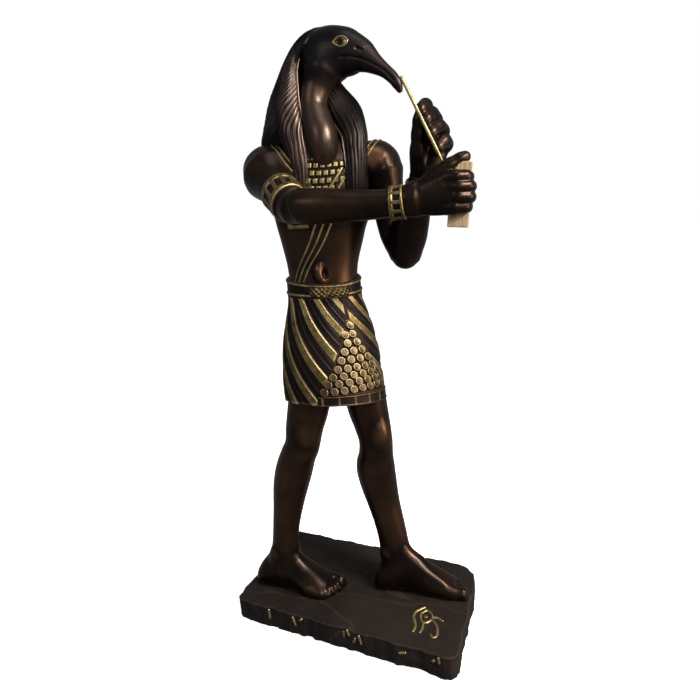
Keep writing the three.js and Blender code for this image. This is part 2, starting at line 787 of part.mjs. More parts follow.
function stylusShape(grow) {
  const radius = stylusDiameter / 2 + grow;
  const half = stylusLength / 2 + grow;
  const profile = [
    [0, -half],
    [radius * 0.45, -half],
    [radius, -half + 4 * radius],
    [radius, half - 0.4 * radius],
    [radius * 0.6, half],
    [0, half],
  ];
  return new THREE.LatheGeometry(profile.map(([r, y]) => new THREE.Vector2(r, y)), 10);
}

function held(geometry, turn, spot) {
  const matrix = new THREE.Matrix4().compose(spot, turn, new THREE.Vector3(1, 1, 1));
  return solidOf(geometry.clone().applyMatrix4(matrix));
}

function figureSolid() {
  const body = joined([
    skin(torso, even(160, 238, 8), 16),
    skin(girdle, even(0, 4, 3), 8),
    skin(rightBlade, even(0, 2, 2), 8),
    skin(leftBlade, even(0, 2, 2), 8),
    skin(rightLeg, even(0, 11, 8), 10),
    skin(leftLeg, even(0, 11, 8), 10),
    ...footSolids([-58.2, -14.6], 5, 1),
    ...footSolids([6.6, 3.4], 12, -1),
    ...kiltSolids(),
    ...dressSolids(),
    ...armSolids(),
    ...wigSolids(),
    ...headSolids(),
  ]);
  const slot = held(tabletShape(clearance), new THREE.Quaternion().setFromEuler(tabletTurn), tabletSpot);
  const channel = held(stylusShape(clearance), stylusTurn, stylusMiddle);
  return body.subtract(slot).subtract(channel);
}

// Plinth

// How far a hewn side falls back, at a distance along the whole outline.
function hewn(distance) {
  return plinthRipple * (0.5 + 0.28 * Math.sin(distance * 0.31) + 0.22 * Math.sin(distance * 0.83 + 1.7));
}

function plinthOutline(inset) {
  const nearX = (plinthLength - plinthSkew) / 2;
  const near = plinthSkew / 2;
  const far = -plinthSkew / 2;
  const corners = [
    [near - nearX, -plinthWidth / 2],
    [near + nearX, -plinthWidth / 2],
    [far + nearX, plinthWidth / 2 - notchWidth],
    [far + nearX - notchLength, plinthWidth / 2],
    [far - nearX, plinthWidth / 2],
  ];
  const pace = 17;
  const points = [];
  let walked = 0;
  corners.forEach(([x0, y0], index) => {
    const [x1, y1] = corners[(index + 1) % corners.length];
    const length = Math.hypot(x1 - x0, y1 - y0);
    const inward = [-(y1 - y0) / length, (x1 - x0) / length];
    const cut = Math.min(plinthCut, length / 4);
    const steps = Math.max(1, Math.round(length / pace));
    for (let step = 0; step <= steps; step++) {
      const distance = cut + ((length - 2 * cut) * step) / steps;
      const share = distance / length;
      const back = hewn(walked + distance) + inset;
      points.push(new THREE.Vector2(
        x0 + (x1 - x0) * share + inward[0] * back,
        y0 + (y1 - y0) * share + inward[1] * back,
      ));
    }
    walked += length;
  });
  return points;
}

function plinthBlock() {
  const bevel = 0.6;
  const block = new THREE.ExtrudeGeometry(new THREE.Shape(plinthOutline(bevel)), {
    depth: plinthHeight - 2 * bevel,
    bevelThickness: bevel,
    bevelSize: bevel,
    bevelSegments: 1,
    steps: 1,
  });
  block.translate(0, 0, bevel);
  return solidOf(block);
}

// The eye ornament in its own plane, as shares of its length: brow, lids, pupil, tail, tear and curl.
// Each is a line's points and its width in millimetres.
function ornamentLines() {
  const lines = [
    [[[0.36, 0.07], [0.16, 0.27], [-0.03, 0.31], [-0.22, 0.25], [-0.41, 0.2], [-0.6, 0.22]], 1],
    [[[-0.03, 0.13], [0.12, 0.12], [0.25, 0], [0.16, -0.11], [0.02, -0.17]], 0.9],
    [[[-0.03, 0.13], [-0.17, 0.08], [-0.2, -0.04], [-0.09, -0.14], [0.02, -0.17]], 0.9],
    [[[-0.08, 0], [0.09, 0]], 3],
    [[[0.02, -0.17], [0.02, -0.3], [-0.07, -0.45]], 0.9],
    [[[-0.19, 0.03], [-0.4, 0.02], [-0.6, 0.05]], 0.9],
    [[[-0.05, -0.16], [-0.24, -0.3], [-0.45, -0.36], [-0.6, -0.36], [-0.67, -0.29], [-0.58, -0.2]], 0.9],
  ];
  return lines.map(([line, width]) => {
    const scaled = line.map(([x, y]) => [x * ornamentLength, y * ornamentLength]);
    return [scaled, width];
  });
}

// The marks on the long side: short strokes that are no letters.
// Each: share of the plinth's length, lean, and the share of its height of the stroke and of its middle.
const markRows = [
  [-0.293, 3, 0.42, 0.65],
  [-0.172, 16, 0.4, 0.68],
  [-0.14, -50, 0.18, 0.82],
  [0.048, 0, 0.27, 0.68],
  [0.068, 26, 0.26, 0.82],
  [0.096, -23, 0.27, 0.6],
  [0.12, 16, 0.38, 0.7],
  [0.29, -78, 0.3, 0.65],
  [0.408, -54, 0.15, 0.68],
  [0.428, 9, 0.26, 0.78],
];

function plinthSolid() {
  const top = new THREE.Matrix4()
    .makeTranslation(plinthLength / 2 - ornamentInset[0], ornamentInset[1] - plinthWidth / 2, plinthHeight)
    .multiply(new THREE.Matrix4().makeRotationZ(98 * degree));
  const ornament = ornamentLines().map(([line, width]) => ribbon(line, width, markDepth, markRoot, top));
  const marks = markRows.map(([share, lean, tall, level]) => {
    const half = (tall * plinthHeight) / 2;
    const back = hewn((share + 0.5) * plinthLength);
    const place = new THREE.Matrix4()
      .makeTranslation(share * plinthLength, -plinthWidth / 2 + back, level * plinthHeight)
      .multiply(new THREE.Matrix4().makeRotationX(90 * degree))
      .multiply(new THREE.Matrix4().makeRotationZ(lean * degree));
    return ribbon([[0, -half], [0, half]], 1, markDepth, markRoot, place);
  });
  return joined([plinthBlock(), ...ornament, ...marks]);
}

// The object

const stone = new THREE.MeshStandardMaterial({ color: 0x2a211d, roughness: 0.85, metalness: 0.1 });
const bronze = new THREE.MeshStandardMaterial({ color: 0x2b1d17, roughness: 0.38, metalness: 0.8 });
const brass = new THREE.MeshStandardMaterial({ color: 0xb5a878, roughness: 0.45, metalness: 0.6 });
const board = new THREE.MeshStandardMaterial({ color: 0x9a8468, roughness: 0.8, metalness: 0 });

function named(name, geometry, material) {
  const mesh = new THREE.Mesh(geometry, material);
  mesh.name = name;
  return mesh;
}

const thoth = new THREE.Group();
thoth.add(named("plinth", geometryOf(plinthSolid()), stone));

const standing = new THREE.Group();
standing.position.set(...figureSpot, plinthHeight);
thoth.add(standing);
standing.add(named("figure", geometryOf(figureSolid()), bronze));

const stylus = named("stylus", stylusShape(0), brass);
stylus.position.copy(stylusMiddle);
stylus.quaternion.copy(stylusTurn);
standing.add(stylus);

const tablet = named("tablet", tabletShape(0), board);
tablet.position.copy(tabletSpot);
tablet.rotation.copy(tabletTurn);
standing.add(tablet);

export default thoth;
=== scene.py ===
"""The looks of a cast figurine of the ibis-headed scribe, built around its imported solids."""

import bmesh
import bpy
import numpy as np
import openvdb
from mathutils import Matrix, Vector
from mathutils.bvhtree import BVHTree


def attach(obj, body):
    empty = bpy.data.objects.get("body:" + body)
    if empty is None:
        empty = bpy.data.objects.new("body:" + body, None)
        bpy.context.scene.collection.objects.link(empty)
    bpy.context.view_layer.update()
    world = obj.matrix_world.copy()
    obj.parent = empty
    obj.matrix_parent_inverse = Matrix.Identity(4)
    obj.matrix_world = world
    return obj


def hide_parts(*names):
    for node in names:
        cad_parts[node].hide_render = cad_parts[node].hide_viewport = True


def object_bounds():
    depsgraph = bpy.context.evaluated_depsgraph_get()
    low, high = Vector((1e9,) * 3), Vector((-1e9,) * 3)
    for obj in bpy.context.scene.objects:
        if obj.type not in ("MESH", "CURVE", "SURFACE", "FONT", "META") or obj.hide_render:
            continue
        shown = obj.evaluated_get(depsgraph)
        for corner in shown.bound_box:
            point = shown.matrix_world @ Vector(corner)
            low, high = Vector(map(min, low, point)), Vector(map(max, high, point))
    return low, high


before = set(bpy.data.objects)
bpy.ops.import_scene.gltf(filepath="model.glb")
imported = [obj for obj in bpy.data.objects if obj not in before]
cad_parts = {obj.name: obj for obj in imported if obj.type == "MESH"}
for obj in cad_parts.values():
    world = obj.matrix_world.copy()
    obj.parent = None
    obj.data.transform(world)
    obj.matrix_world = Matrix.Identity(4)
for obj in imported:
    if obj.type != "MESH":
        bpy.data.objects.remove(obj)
cad_box = [list(corner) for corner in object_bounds()]

# Forms are written in millimetres in the figure's own frame, whose origin is here in the frame that
# the pieces share, between the feet and level with their soles.
FIGURE_SPOT = np.array([2.0, -1.7, 13.0])
MM = 0.001
DEGREE = np.pi / 180
PLINTH_TOP = 13.0
X_AXIS, Y_AXIS, Z_AXIS = 0, 1, 2
NO_TRIANGLES = np.zeros((0, 3), int)

# The figure's near side and front, just inside the box of the solids.
BOX_ROOM = 0.05
NEAR_SIDE = cad_box[0][1] / MM - FIGURE_SPOT[1] + BOX_ROOM
FRONT_SIDE = cad_box[1][0] / MM - FIGURE_SPOT[0] - BOX_ROOM


# Numbers and curves

def unit(vectors):
    return vectors / np.maximum(np.linalg.norm(vectors, axis=-1, keepdims=True), 1e-12)


def ease(low, high, value):
    """A smooth step from 0 at low to 1 at high."""
    t = np.clip((value - low) / (high - low), 0, 1)
    return t * t * (3 - 2 * t)


def bank(start, full, last, gone, value):
    """Rises smoothly from 0 to 1 between the first two values and falls back between the next two."""
    return ease(start, full, value) * ease(gone, last, value)


def turns(count):
    """Evenly spaced turns all the way round."""
    return np.arange(count) * 2 * np.pi / count


def wrapped(turn):
    """The same turn, between half a turn back and half a turn on."""
    return (turn + np.pi) % (2 * np.pi) - np.pi


def span(low, high, pace):
    """Evenly spaced keys from one to another, about a pace apart."""
    return np.linspace(low, high, max(2, int(round((high - low) / pace)) + 1))


def through(keys, rows, key):
    """Each column of the rows as a smooth function of the keys."""
    keys = np.asarray(keys, float)
    rows = np.asarray(rows, float)
    key = np.asarray(key, float)
    last = len(keys) - 1
    slopes = np.empty_like(rows)
    slopes[0] = (rows[1] - rows[0]) / (keys[1] - keys[0])
    slopes[last] = (rows[last] - rows[last - 1]) / (keys[last] - keys[last - 1])
    slopes[1:last] = (rows[2:] - rows[:-2]) / (keys[2:] - keys[:-2])[:, None]
    i = np.searchsorted(keys[1:last], key)
    gap = (keys[i + 1] - keys[i])[..., None]
    t = (key - keys[i])[..., None] / gap
    change = rows[i + 1] - rows[i]
    leave = slopes[i] * gap
    arrive = slopes[i + 1] * gap
    return rows[i] + t * (leave + t * (3 * change - 2 * leave - arrive + t * (leave + arrive - 2 * change)))


def row_at(rows, key):
    """The rows as a smooth function of their first column."""
    return through(rows[:, 0], rows, key)


def course_through(points, count):
    """That many points on a smooth curve through a few."""
    points = np.asarray(points, float)
    return through(np.arange(len(points)), points, np.linspace(0, len(points) - 1, count))


def off_line(spots, start, stop):
    """How far spots lie from a straight line, and at which share of it."""
    line = stop - start
    share = np.clip((spots - start) @ line / (line @ line), 0, 1)
    return np.linalg.norm(spots - start - share[..., None] * line, axis=-1), share


def off_box(spots, half):
    """How far spots lie outside a box round the origin, of those half sizes."""
    offset = np.abs(spots) - half
    return np.linalg.norm(np.maximum(offset, 0), axis=-1) + np.minimum(offset.max(-1), 0)


def lattice_noise(points, pitch, seed):
    """Smooth noise from -1 to 1 at each point, from a seeded lattice of that pitch."""
    cells = 32
    table = np.random.default_rng(seed).uniform(-1, 1, (cells, cells, cells))
    place = np.asarray(points, float) / pitch
    corner = np.floor(place).astype(int)
    t = place - corner
    t = t * t * (3 - 2 * t)
    total = 0
    for a in (0, 1):
        for b in (0, 1):
            for c in (0, 1):
                share = 1
                for axis, step in enumerate((a, b, c)):
                    share = share * (t[..., axis] if step else 1 - t[..., axis])
                index = (corner + (a, b, c)) % cells
                total = total + share * table[index[..., 0], index[..., 1], index[..., 2]]
    return total


# Forms: each gives the points for arrays of turns, keys and distances out from its surface

def section_points(centre, side, front, sizes, turn, out):
    """Points on oval sections. Turns go from the front to the side."""
    half, ahead, behind = sizes[..., 0], sizes[..., 1], sizes[..., 2]
    depth = np.where(np.cos(turn) > 0, ahead, behind)
    return (
        centre
        + side * ((half + out) * np.sin(turn))[..., None]
        + front * ((depth + out) * np.cos(turn))[..., None]
    )


def level_form(rows):
    """Level sections. Each row: height, x, y, half width, depth ahead, depth behind, azimuth it faces."""
    rows = np.asarray(rows, float)

    def form(turn, height, out=0.0):
        turn, height, out = np.broadcast_arrays(turn, height, out)
        values = row_at(rows, height)
        azimuth = values[..., 6] * DEGREE
        level = np.zeros_like(azimuth)
        side = np.stack([np.cos(azimuth), np.sin(azimuth), level], -1)
        front = np.stack([np.sin(azimuth), -np.cos(azimuth), level], -1)
        centre = np.stack([values[..., 1], values[..., 2], values[..., 0]], -1)
        return section_points(centre, side, front, values[..., 3:6], turn, out)

    return form


def limb_form(facing, rows):
    """Sections square to a centre line. Each row: x, y, z, half width, depth ahead, depth behind."""
    rows = np.asarray(rows, float)
    keys = np.arange(len(rows))
    facing = np.asarray(facing, float)

    def form(turn, key, out=0.0):
        turn, key, out = np.broadcast_arrays(turn, key, out)
        values = through(keys, rows, key)
        ahead = through(keys, rows[:, :3], key + 0.01)
        along = unit(ahead - through(keys, rows[:, :3], key - 0.01))
        front = unit(facing - along * (along @ facing)[..., None])
        side = np.cross(along, front)
        return section_points(values[..., :3], side, front, values[..., 3:], turn, out)

    return form


# Meshes

def grid_quads(columns, rows, wrap):
    """The quads of a grid of points kept row by row. wrap joins the last column to the first."""
    across = columns if wrap else columns - 1
    column, row = np.meshgrid(np.arange(across), np.arange(rows - 1))
    a = row * columns + column
    b = row * columns + (column + 1) % columns
    return np.stack([a, b, b + columns, a + columns], -1).reshape(-1, 4)


def shell(rings, closed=False):
    """A solid through rows of points that go round: capped at both ends, or joined end to end."""
    rows, columns = rings.shape[:2]
    points = rings.reshape(-1, 3)
    quads = grid_quads(columns, rows, True)
    first = np.arange(columns)
    final = first + columns * (rows - 1)
    if closed:
        seam = np.stack([final, np.roll(final, -1), np.roll(first, -1), first], -1)
        return points, np.concatenate([quads, seam]), NO_TRIANGLES
    middles = np.stack([points[first].mean(0), points[final].mean(0)])
    low = np.stack([np.roll(first, -1), first, np.full(columns, len(points))], -1)
    high = np.stack([final, np.roll(final, -1), np.full(columns, len(points) + 1)], -1)
    return np.concatenate([points, middles]), quads, np.concatenate([low, high])


def loft(form, keys, columns, shape=None):
    """A capped tube round a form. shape gives the turns and reliefs for turns and keys."""
    turn, key = np.meshgrid(turns(columns), keys)
    relief = np.zeros_like(turn)
    if shape:
        turn, relief = shape(turn, key)
    return shell(form(turn, key, relief))


def slab(form, across, up, spot, relief, gilt, root=0.8):
    """A closed patch on a form, and its gilding. Each function is given shares across and up: spot
    gives the turns and keys there, relief the outer face and gilt how much gold lies on it."""
    u, v = np.meshgrid(np.linspace(0, 1, across), np.linspace(0, 1, up))
    turn, key = spot(u, v)
    top = form(turn, key, relief(u, v)).reshape(-1, 3)
    floor = form(turn, key, np.full_like(u, -root)).reshape(-1, 3)
    index = np.arange(across * up).reshape(up, across)
    rim = np.concatenate([index[0, :-1], index[:-1, -1], index[-1, :0:-1], index[:0:-1, 0]])
    count = len(rim)
    base = len(top) + np.arange(count)
    walls = np.stack([np.roll(rim, -1), rim, base, np.roll(base, -1)], -1)
    centre = floor[rim].mean(0)
    inward = centre + unit(centre - top.mean(0)) * root
    fan = np.stack([np.roll(base, -1), base, np.full(count, len(top) + count)], -1)
    points = np.concatenate([top, floor[rim], inward[None]])
    gold = np.zeros(len(points))
    gold[:len(top)] = gilt(u, v).ravel()
    return (points, np.concatenate([grid_quads(across, up, False), walls]), fan), gold


def tube(points, radius, sides, closed=False):
    """A round bar through points, with a radius for the whole or for each point. The lead is a direction
    that runs along no bar, and is carried along the bar so that its sides don't twist."""
    points = np.asarray(points, float)
    radius = np.broadcast_to(radius, len(points))
    before = np.roll(points, 1, 0) if closed else np.concatenate([points[:1], points[:-1]])
    after = np.roll(points, -1, 0) if closed else np.concatenate([points[1:], points[-1:]])
    along = unit(after - before)
    side = np.zeros_like(along)
    lead = np.array([0.31, 0.17, 0.93])
    for i, direction in enumerate(along):
        lead = unit(lead - direction * (lead @ direction))
        side[i] = lead
    turn = turns(sides)[:, None]
    ring = side[:, None] * np.cos(turn) + np.cross(along, side)[:, None] * np.sin(turn)
    return shell(points[:, None] + ring * radius[:, None, None], closed)


def merged(solids):
    """Several (points, quads, triangles) as one."""
    starts = np.cumsum([0, *(len(points) for points, _, _ in solids[:-1])])
    points = np.concatenate([solid[0] for solid in solids])
    quads = np.concatenate([solid[1] + start for solid, start in zip(solids, starts)])
    return points, quads, np.concatenate([solid[2] + start for solid, start in zip(solids, starts)])


def together(parts):
    """Several (solid, gilding) as one."""
    solids, gold = zip(*parts)
    return merged(solids), np.concatenate(gold)


def quad_normals(points, quads):
    """The direction that each quad faces, as long as twice its area."""
    corners = points[quads]
    return np.cross(corners[:, 2] - corners[:, 0], corners[:, 3] - corners[:, 1])


def tree_of(solid):
    return BVHTree.FromPolygons(solid[0].tolist(), solid[1].tolist())


def wear_of(points, quads, triangles, rounds):
    """How far each point stands proud of its smoothed surroundings, in millimetres."""
    pairs = [quads[:, [i, (i + 1) % 4]] for i in range(4)]
    pairs += [triangles[:, [i, (i + 1) % 3]] for i in range(3)]
    edges = np.concatenate(pairs)
    edges = np.concatenate([edges, edges[:, ::-1]])
    count = len(points)
    weight = np.maximum(np.bincount(edges[:, 0], minlength=count), 1)[:, None]
    smooth = points.copy()
    for _ in range(rounds):
        gathered = [np.bincount(edges[:, 0], smooth[edges[:, 1], axis], count) for axis in range(3)]
        smooth = 0.5 * smooth + 0.5 * np.stack(gathered, -1) / weight
    facing = quad_normals(points, quads)
    normal = np.zeros_like(points)
    for i in range(4):
        for axis in range(3):
            normal[:, axis] += np.bincount(quads[:, i], facing[:, axis], count)
    return ((points - smooth) * unit(normal)).sum(-1)


def piece(name, solid, gold, material, wear_rounds, wear_scale, given_wear_and_painted_light=0, node="figure"):
    """Makes the mesh object that stands for a node, keeping on its points its gilding and how worn it is,
    painted light included. wear_rounds says how wide the surroundings are that a point stands proud of,
    wear_scale how far counts as fully worn, and the last value is worn colour given for each point, with the
    painted highlights and painted shade that some pieces add."""
    points, quads, triangles = solid
    mesh = bpy.data.meshes.new(name)
    mesh.from_pydata(((points + FIGURE_SPOT) * MM).tolist(), [], quads.tolist() + triangles.tolist())
    mesh.update()
    wear_and_painted_light = np.clip(wear_of(points, quads, triangles, wear_rounds) / wear_scale + given_wear_and_painted_light, -1, 1)
    for title, values in (("wear_and_painted_light", wear_and_painted_light), ("gold", gold + np.zeros(len(points)))):
        layer = mesh.attributes.new(title, "FLOAT", "POINT")
        layer.data.foreach_set("value", values.astype(np.float32))
    mesh.polygons.foreach_set("use_smooth", [True] * len(mesh.polygons))
    mesh.materials.append(material)
    shown = bpy.data.objects.new(name, mesh)
    bpy.context.scene.collection.objects.link(shown)
    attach(shown, "root")
    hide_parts(node)


# Blended forms

class Wax:
    """A block of distances to a surface, in which forms are blended as a modeller blends them."""

    def __init__(self, low, high, voxel, reach):
        self.voxel = voxel
        self.reach = reach
        self.low = np.floor(np.asarray(low, float) / voxel).astype(int)
        size = np.ceil(np.asarray(high, float) / voxel).astype(int) - self.low + 1
        self.field = np.full(size, reach, np.float32)

    def window(self, low, high):
        """The slices of the block between two corners, and the place of each of its cells."""
        start = np.maximum(np.floor(np.asarray(low) / self.voxel).astype(int) - self.low, 0)
        stop = np.ceil(np.asarray(high) / self.voxel).astype(int) - self.low + 1
        stop = np.minimum(stop, self.field.shape)
        slices = tuple(slice(a, b) for a, b in zip(start, stop))
        axes = [(np.arange(a, b) + c) * self.voxel for a, b, c in zip(start, stop, self.low)]
        return slices, np.stack(np.meshgrid(*axes, indexing="ij"), -1)

    def blend(self, slices, distance, softness):
        """Joins a form to what is there, with a fillet as wide as the softness."""
        here = self.field[slices]
        share = np.clip(0.5 + 0.5 * (distance - here) / softness, 0, 1)
        self.field[slices] = distance * (1 - share) + here * share - softness * share * (1 - share)

    def add(self, solid, softness):
        """Adds a closed mesh."""
        points, quads, triangles = solid
        low = points.min(0) - self.reach
        high = points.max(0) + self.reach
        slices, _ = self.window(low, high)
        grid = openvdb.FloatGrid.createLevelSetFromPolygons(
            points.astype(np.float32),
            triangles=triangles.astype(np.uint32),
            quads=quads.astype(np.uint32),
            transform=openvdb.createLinearTransform(voxelSize=self.voxel),
            halfWidth=self.reach / self.voxel,
        )
        distance = np.empty([s.stop - s.start for s in slices], np.float32)
        corner = self.low + [s.start for s in slices]
        grid.copyToArray(distance, ijk=tuple(int(c) for c in corner))
        self.blend(slices, distance, softness)

    def egg(self, centre, radii, softness, axes=None, carve=False):
        """Adds, or carves, an ellipsoid. axes are the directions of its radii."""
        centre = np.asarray(centre, float)
        radii = np.asarray(radii, float)
        room = radii.max() + self.reach
        slices, spots = self.window(centre - room, centre + room)
        offset = spots - centre
        if axes is not None:
            offset = offset @ np.asarray(axes, float).T
        scaled = np.linalg.norm(offset / radii, axis=-1)
        steep = np.maximum(np.linalg.norm(offset / radii**2, axis=-1), 1e-9)
        self.shape(slices, scaled * (scaled - 1) / steep, softness, carve)

    def bar(self, points, radii, softness, carve=False):
        """Adds, or carves, a round bar through points."""
        for start, stop, r0, r1 in zip(points[:-1], points[1:], radii[:-1], radii[1:]):
            start = np.asarray(start, float)
            stop = np.asarray(stop, float)
            room = max(r0, r1) + self.reach
            slices, spots = self.window(np.minimum(start, stop) - room, np.maximum(start, stop) + room)
            away, share = off_line(spots, start, stop)
            self.shape(slices, away - (r0 + (r1 - r0) * share), softness, carve)

    def shape(self, slices, distance, softness, carve):
        distance = np.minimum(distance, self.reach).astype(np.float32)
        if not carve:
            self.blend(slices, distance, softness)
            return
        self.field[slices] *= -1
        self.blend(slices, distance, softness)
        self.field[slices] *= -1

    def engrave(self, slices, distance, width, depth, softness):
        """Sinks a groove of a depth into the surface where a distance is under the width."""
        groove = np.maximum(distance - width, -(self.field[slices] + depth))
        self.shape(slices, groove, softness, True)

    def keep(self, axis, low, high):
        """Cuts everything under one level along an axis and over another."""
        shape = [1, 1, 1]
        shape[axis] = -1
        levels = ((np.arange(self.field.shape[axis]) + self.low[axis]) * self.voxel).reshape(shape)
        self.field = np.maximum(self.field, np.maximum(low - levels, levels - high)).astype(np.float32)

    def skin(self):
        """The surface as points and quads that face out."""
        grid = openvdb.FloatGrid(self.reach)
        grid.copyFromArray(self.field, ijk=tuple(int(c) for c in self.low), tolerance=0.0)
        grid.transform = openvdb.createLinearTransform(voxelSize=self.voxel)
        points, quads = grid.convertToQuads(isovalue=0.0)
        points = points.astype(float)
        quads = quads.astype(int)
        if (quad_normals(points, quads) * points[quads[:, 0]]).sum() < 0:
            quads = quads[:, ::-1]
        return points, quads, NO_TRIANGLES


# The body's forms

CHEST_AZIMUTH = 28
HIP_AZIMUTH = 38
CHEST_FACING = [0.47, -0.88, 0]
RIGHT_LEG_FACING = [0.88, -0.47, 0]
LEFT_LEG_FACING = [0.9, -0.44, 0]

torso = level_form([
    [160, -10, 0, 17.5, 12.5, 11.5, HIP_AZIMUTH],
    [172, -10.3, 0, 17, 12.3, 11, 33],
    [179, -10.2, 0.2, 17.7, 12, 10.5, CHEST_AZIMUTH],
    [190, -9.6, 0.5, 20.2, 12.4, 11, CHEST_AZIMUTH],
    [200, -9.3, 0.6, 22.4, 13.2, 12, CHEST_AZIMUTH],
    [210, -8.5, 0.5, 24, 14, 13, CHEST_AZIMUTH],
    [218, -7.5, 0.3, 24.6, 13.6, 13, CHEST_AZIMUTH],
    [226, -6.5, 0.2, 22, 12, 12, CHEST_AZIMUTH],
    [233, -5.5, 0, 15, 9, 10, CHEST_AZIMUTH],
    [238, -5, 0, 8, 6.5, 7, CHEST_AZIMUTH],
])

girdle = limb_form(CHEST_FACING, [
    [-29.5, -13.3, 223.5, 9.3, 8.5, 8.5],
    [-17, -7, 225.5, 9.5, 9.5, 9.5],
    [-5, -0.5, 226.5, 10, 10.5, 10.5],
    [7, 5.5, 225.5, 9.5, 9.5, 9.5],
    [18, 11, 223, 9, 8.5, 8.5],
])

right_blade = limb_form(CHEST_FACING, [
    [-29.5, -12.5, 221, 9.5, 8.5, 9.5],
    [-24, -5.5, 212, 8.5, 8.5, 8.5],
    [-17, 1.5, 198, 6, 6, 6],
])

left_blade = limb_form(CHEST_FACING, [
    [17, 12, 220.5, 9, 8, 9],
    [9, 9.5, 211, 8.5, 8.5, 8.5],
    [0.5, 6.5, 198, 6, 6, 6],
])

neck = limb_form([0.6, -0.8, 0], [
    [-1, -1, 266, 8, 9, 9],
    [-5.6, -3.4, 257, 6.7, 7.2, 7.6],
    [-6.5, -4.8, 249.5, 6.4, 6.9, 7.2],
    [-4.4, -6.4, 242.5, 7.1, 7.5, 7.2],
    [-2.2, -7.5, 236, 7.5, 8.4, 7.6],
    [-1.8, -7.4, 230, 7.1, 8.1, 7.6],
    [-3, -5, 224, 6.2, 6.4, 6.8],
])

head = limb_form([0, -1, 0], [
    [-15, 0, 268, 5, 4.5, 4.5],
    [-8, 0, 270, 10.3, 8.2, 8.2],
    [0, 0, 271.3, 11.6, 9.4, 9.4],
    [7.7, 0, 270.8, 10.6, 8.8, 8.8],
    [12.6, 0, 269.5, 9, 7.4, 7.4],
    [16.5, 0, 268.1, 7.2, 5.9, 5.9],
    [19.2, 0, 266.4, 5.8, 4.8, 4.8],
    [22.3, 0, 264.1, 4.3, 3.9, 3.9],
    [26.7, 0, 260.8, 3, 3, 3],
    [30.3, 0, 257.5, 2.6, 2.5, 2.5],
    [32.7, 0, 254, 2.2, 2, 2],
    [33.9, 0, 250.8, 1, 1, 1],
])

right_upper_arm = limb_form([0.5, -0.6, -0.6], [
    [-30, -13.5, 223, 10.6, 10.6, 10.6],
    [-24, -18.5, 217.8, 9.2, 9.2, 9.2],
    [-15, -25, 211.6, 7.8, 7.8, 7.8],
    [-6, -31.5, 206, 7.6, 7.6, 7.6],
    [2, -36, 203.5, 6.9, 6.9, 6.9],
])

right_forearm = limb_form([0, -1, 0], [
    [-3, -35.5, 204.5, 5.2, 5, 5],
    [3, -35.2, 205.1, 7.3, 7, 7],
    [14, -33.4, 204.6, 7.1, 6.8, 6.8],
    [28, -30.8, 203.9, 6.1, 5.8, 5.8],
    [41, -28.5, 204, 5.6, 4.8, 4.8],
    [48, -27.3, 204.6, 6.2, 4.2, 4.2],
])

left_upper_arm = limb_form(CHEST_FACING, [
    [18, 11, 224, 9.5, 9.8, 9.8],
    [20, 11, 214, 8.4, 8.8, 8.8],
    [23.4, 10.3, 201, 8.3, 8, 8],
    [27.2, 8.7, 190, 8.6, 7.6, 7.6],
    [30.8, 6.5, 180.5, 6.8, 6.4, 6.4],
])

left_forearm = limb_form(CHEST_FACING, [
    [30.3, 6.3, 177.3, 5, 4.6, 4.6],
    [33.5, 4, 187, 7.8, 7.4, 7.4],
    [37, 0.5, 196, 7.6, 7, 7],
    [41, -3.5, 205.5, 6.3, 5.8, 5.8],
    [45, -7, 214, 5.4, 4.8, 4.8],
])

right_palm = limb_form([0, -1, 0], [
    [45, -27.8, 204.3, 5.6, 4.2, 4.2],
    [50, -27, 205.2, 7, 3.9, 3.9],
    [57, -26.5, 206, 8.2, 3.5, 3.5],
    [63.5, -26, 206.4, 8, 2.8, 2.6],
])

left_palm = limb_form([0.43, -0.9, 0], [
    [44.8, -6.8, 212, 5.4, 4.6, 4.6],
    [46.5, -7.6, 218, 6.8, 4.6, 4],
    [48.2, -7.3, 225.5, 8.2, 4.2, 3.8],
    [50.7, -5.5, 232.5, 7, 3.4, 3.2],
])

right_leg = limb_form(RIGHT_LEG_FACING, [
    [-14.5, -9.5, 128, 11.4, 11.4, 11.2],
    [-19, -10.5, 107, 10.6, 11, 10.8],
    [-22, -11, 96, 9.7, 10.2, 9.8],
    [-24.3, -11.2, 86, 9, 10, 9],
    [-27.1, -11.3, 79, 9.2, 9.2, 10.4],
    [-30.3, -11.4, 70, 9.8, 9, 11.4],
    [-33.3, -11.6, 60, 9.4, 8.4, 10.8],
    [-35.9, -11.8, 49, 8.3, 7.6, 9],
    [-38.3, -12, 38, 7.4, 7.3, 7.6],
    [-39.8, -12, 29, 7.2, 7.6, 7.2],
    [-41, -12, 19, 7.4, 8, 7.8],
    [-41.5, -12, 8, 7, 7, 7.6],
])

left_leg = limb_form(LEFT_LEG_FACING, [
    [2.5, 7.5, 128, 11.1, 11.1, 11.1],
    [5.2, 8.4, 105, 10.5, 11.1, 10.9],
    [7.4, 8.5, 94, 9.5, 10.4, 9.7],
    [8.9, 8.5, 85, 8.7, 10, 8.7],
    [9.2, 8.6, 77, 8.9, 9.1, 10.1],
    [8.8, 8.7, 69, 10.2, 9.4, 11.8],
    [9.9, 8.8, 60, 9.9, 8.9, 11.2],
    [12, 8.9, 49, 8.7, 8.2, 9.6],
    [14.4, 9, 38, 8, 8, 8.6],
    [16, 9, 29, 7.7, 8.5, 8.4],
    [17.1, 9, 19, 7.8, 8.6, 8.6],
    [17.4, 9, 8, 6.9, 6.9, 7.7],
])

# Both feet. Each row: distance ahead of the heel, half width, height, offset to the inner side.
FOOT_ROWS = np.array([
    [0, 3.6, 7, 0],
    [3, 6.4, 12, 0],
    [9, 7.4, 19, 0],
    [17, 7.5, 25, 0],
    [25, 7.8, 20.5, 0.3],
    [32, 8.5, 14.8, 0.6],
    [38.5, 9.1, 10.6, 0.6],
    [43.5, 8.6, 7.4, 0.8],
])

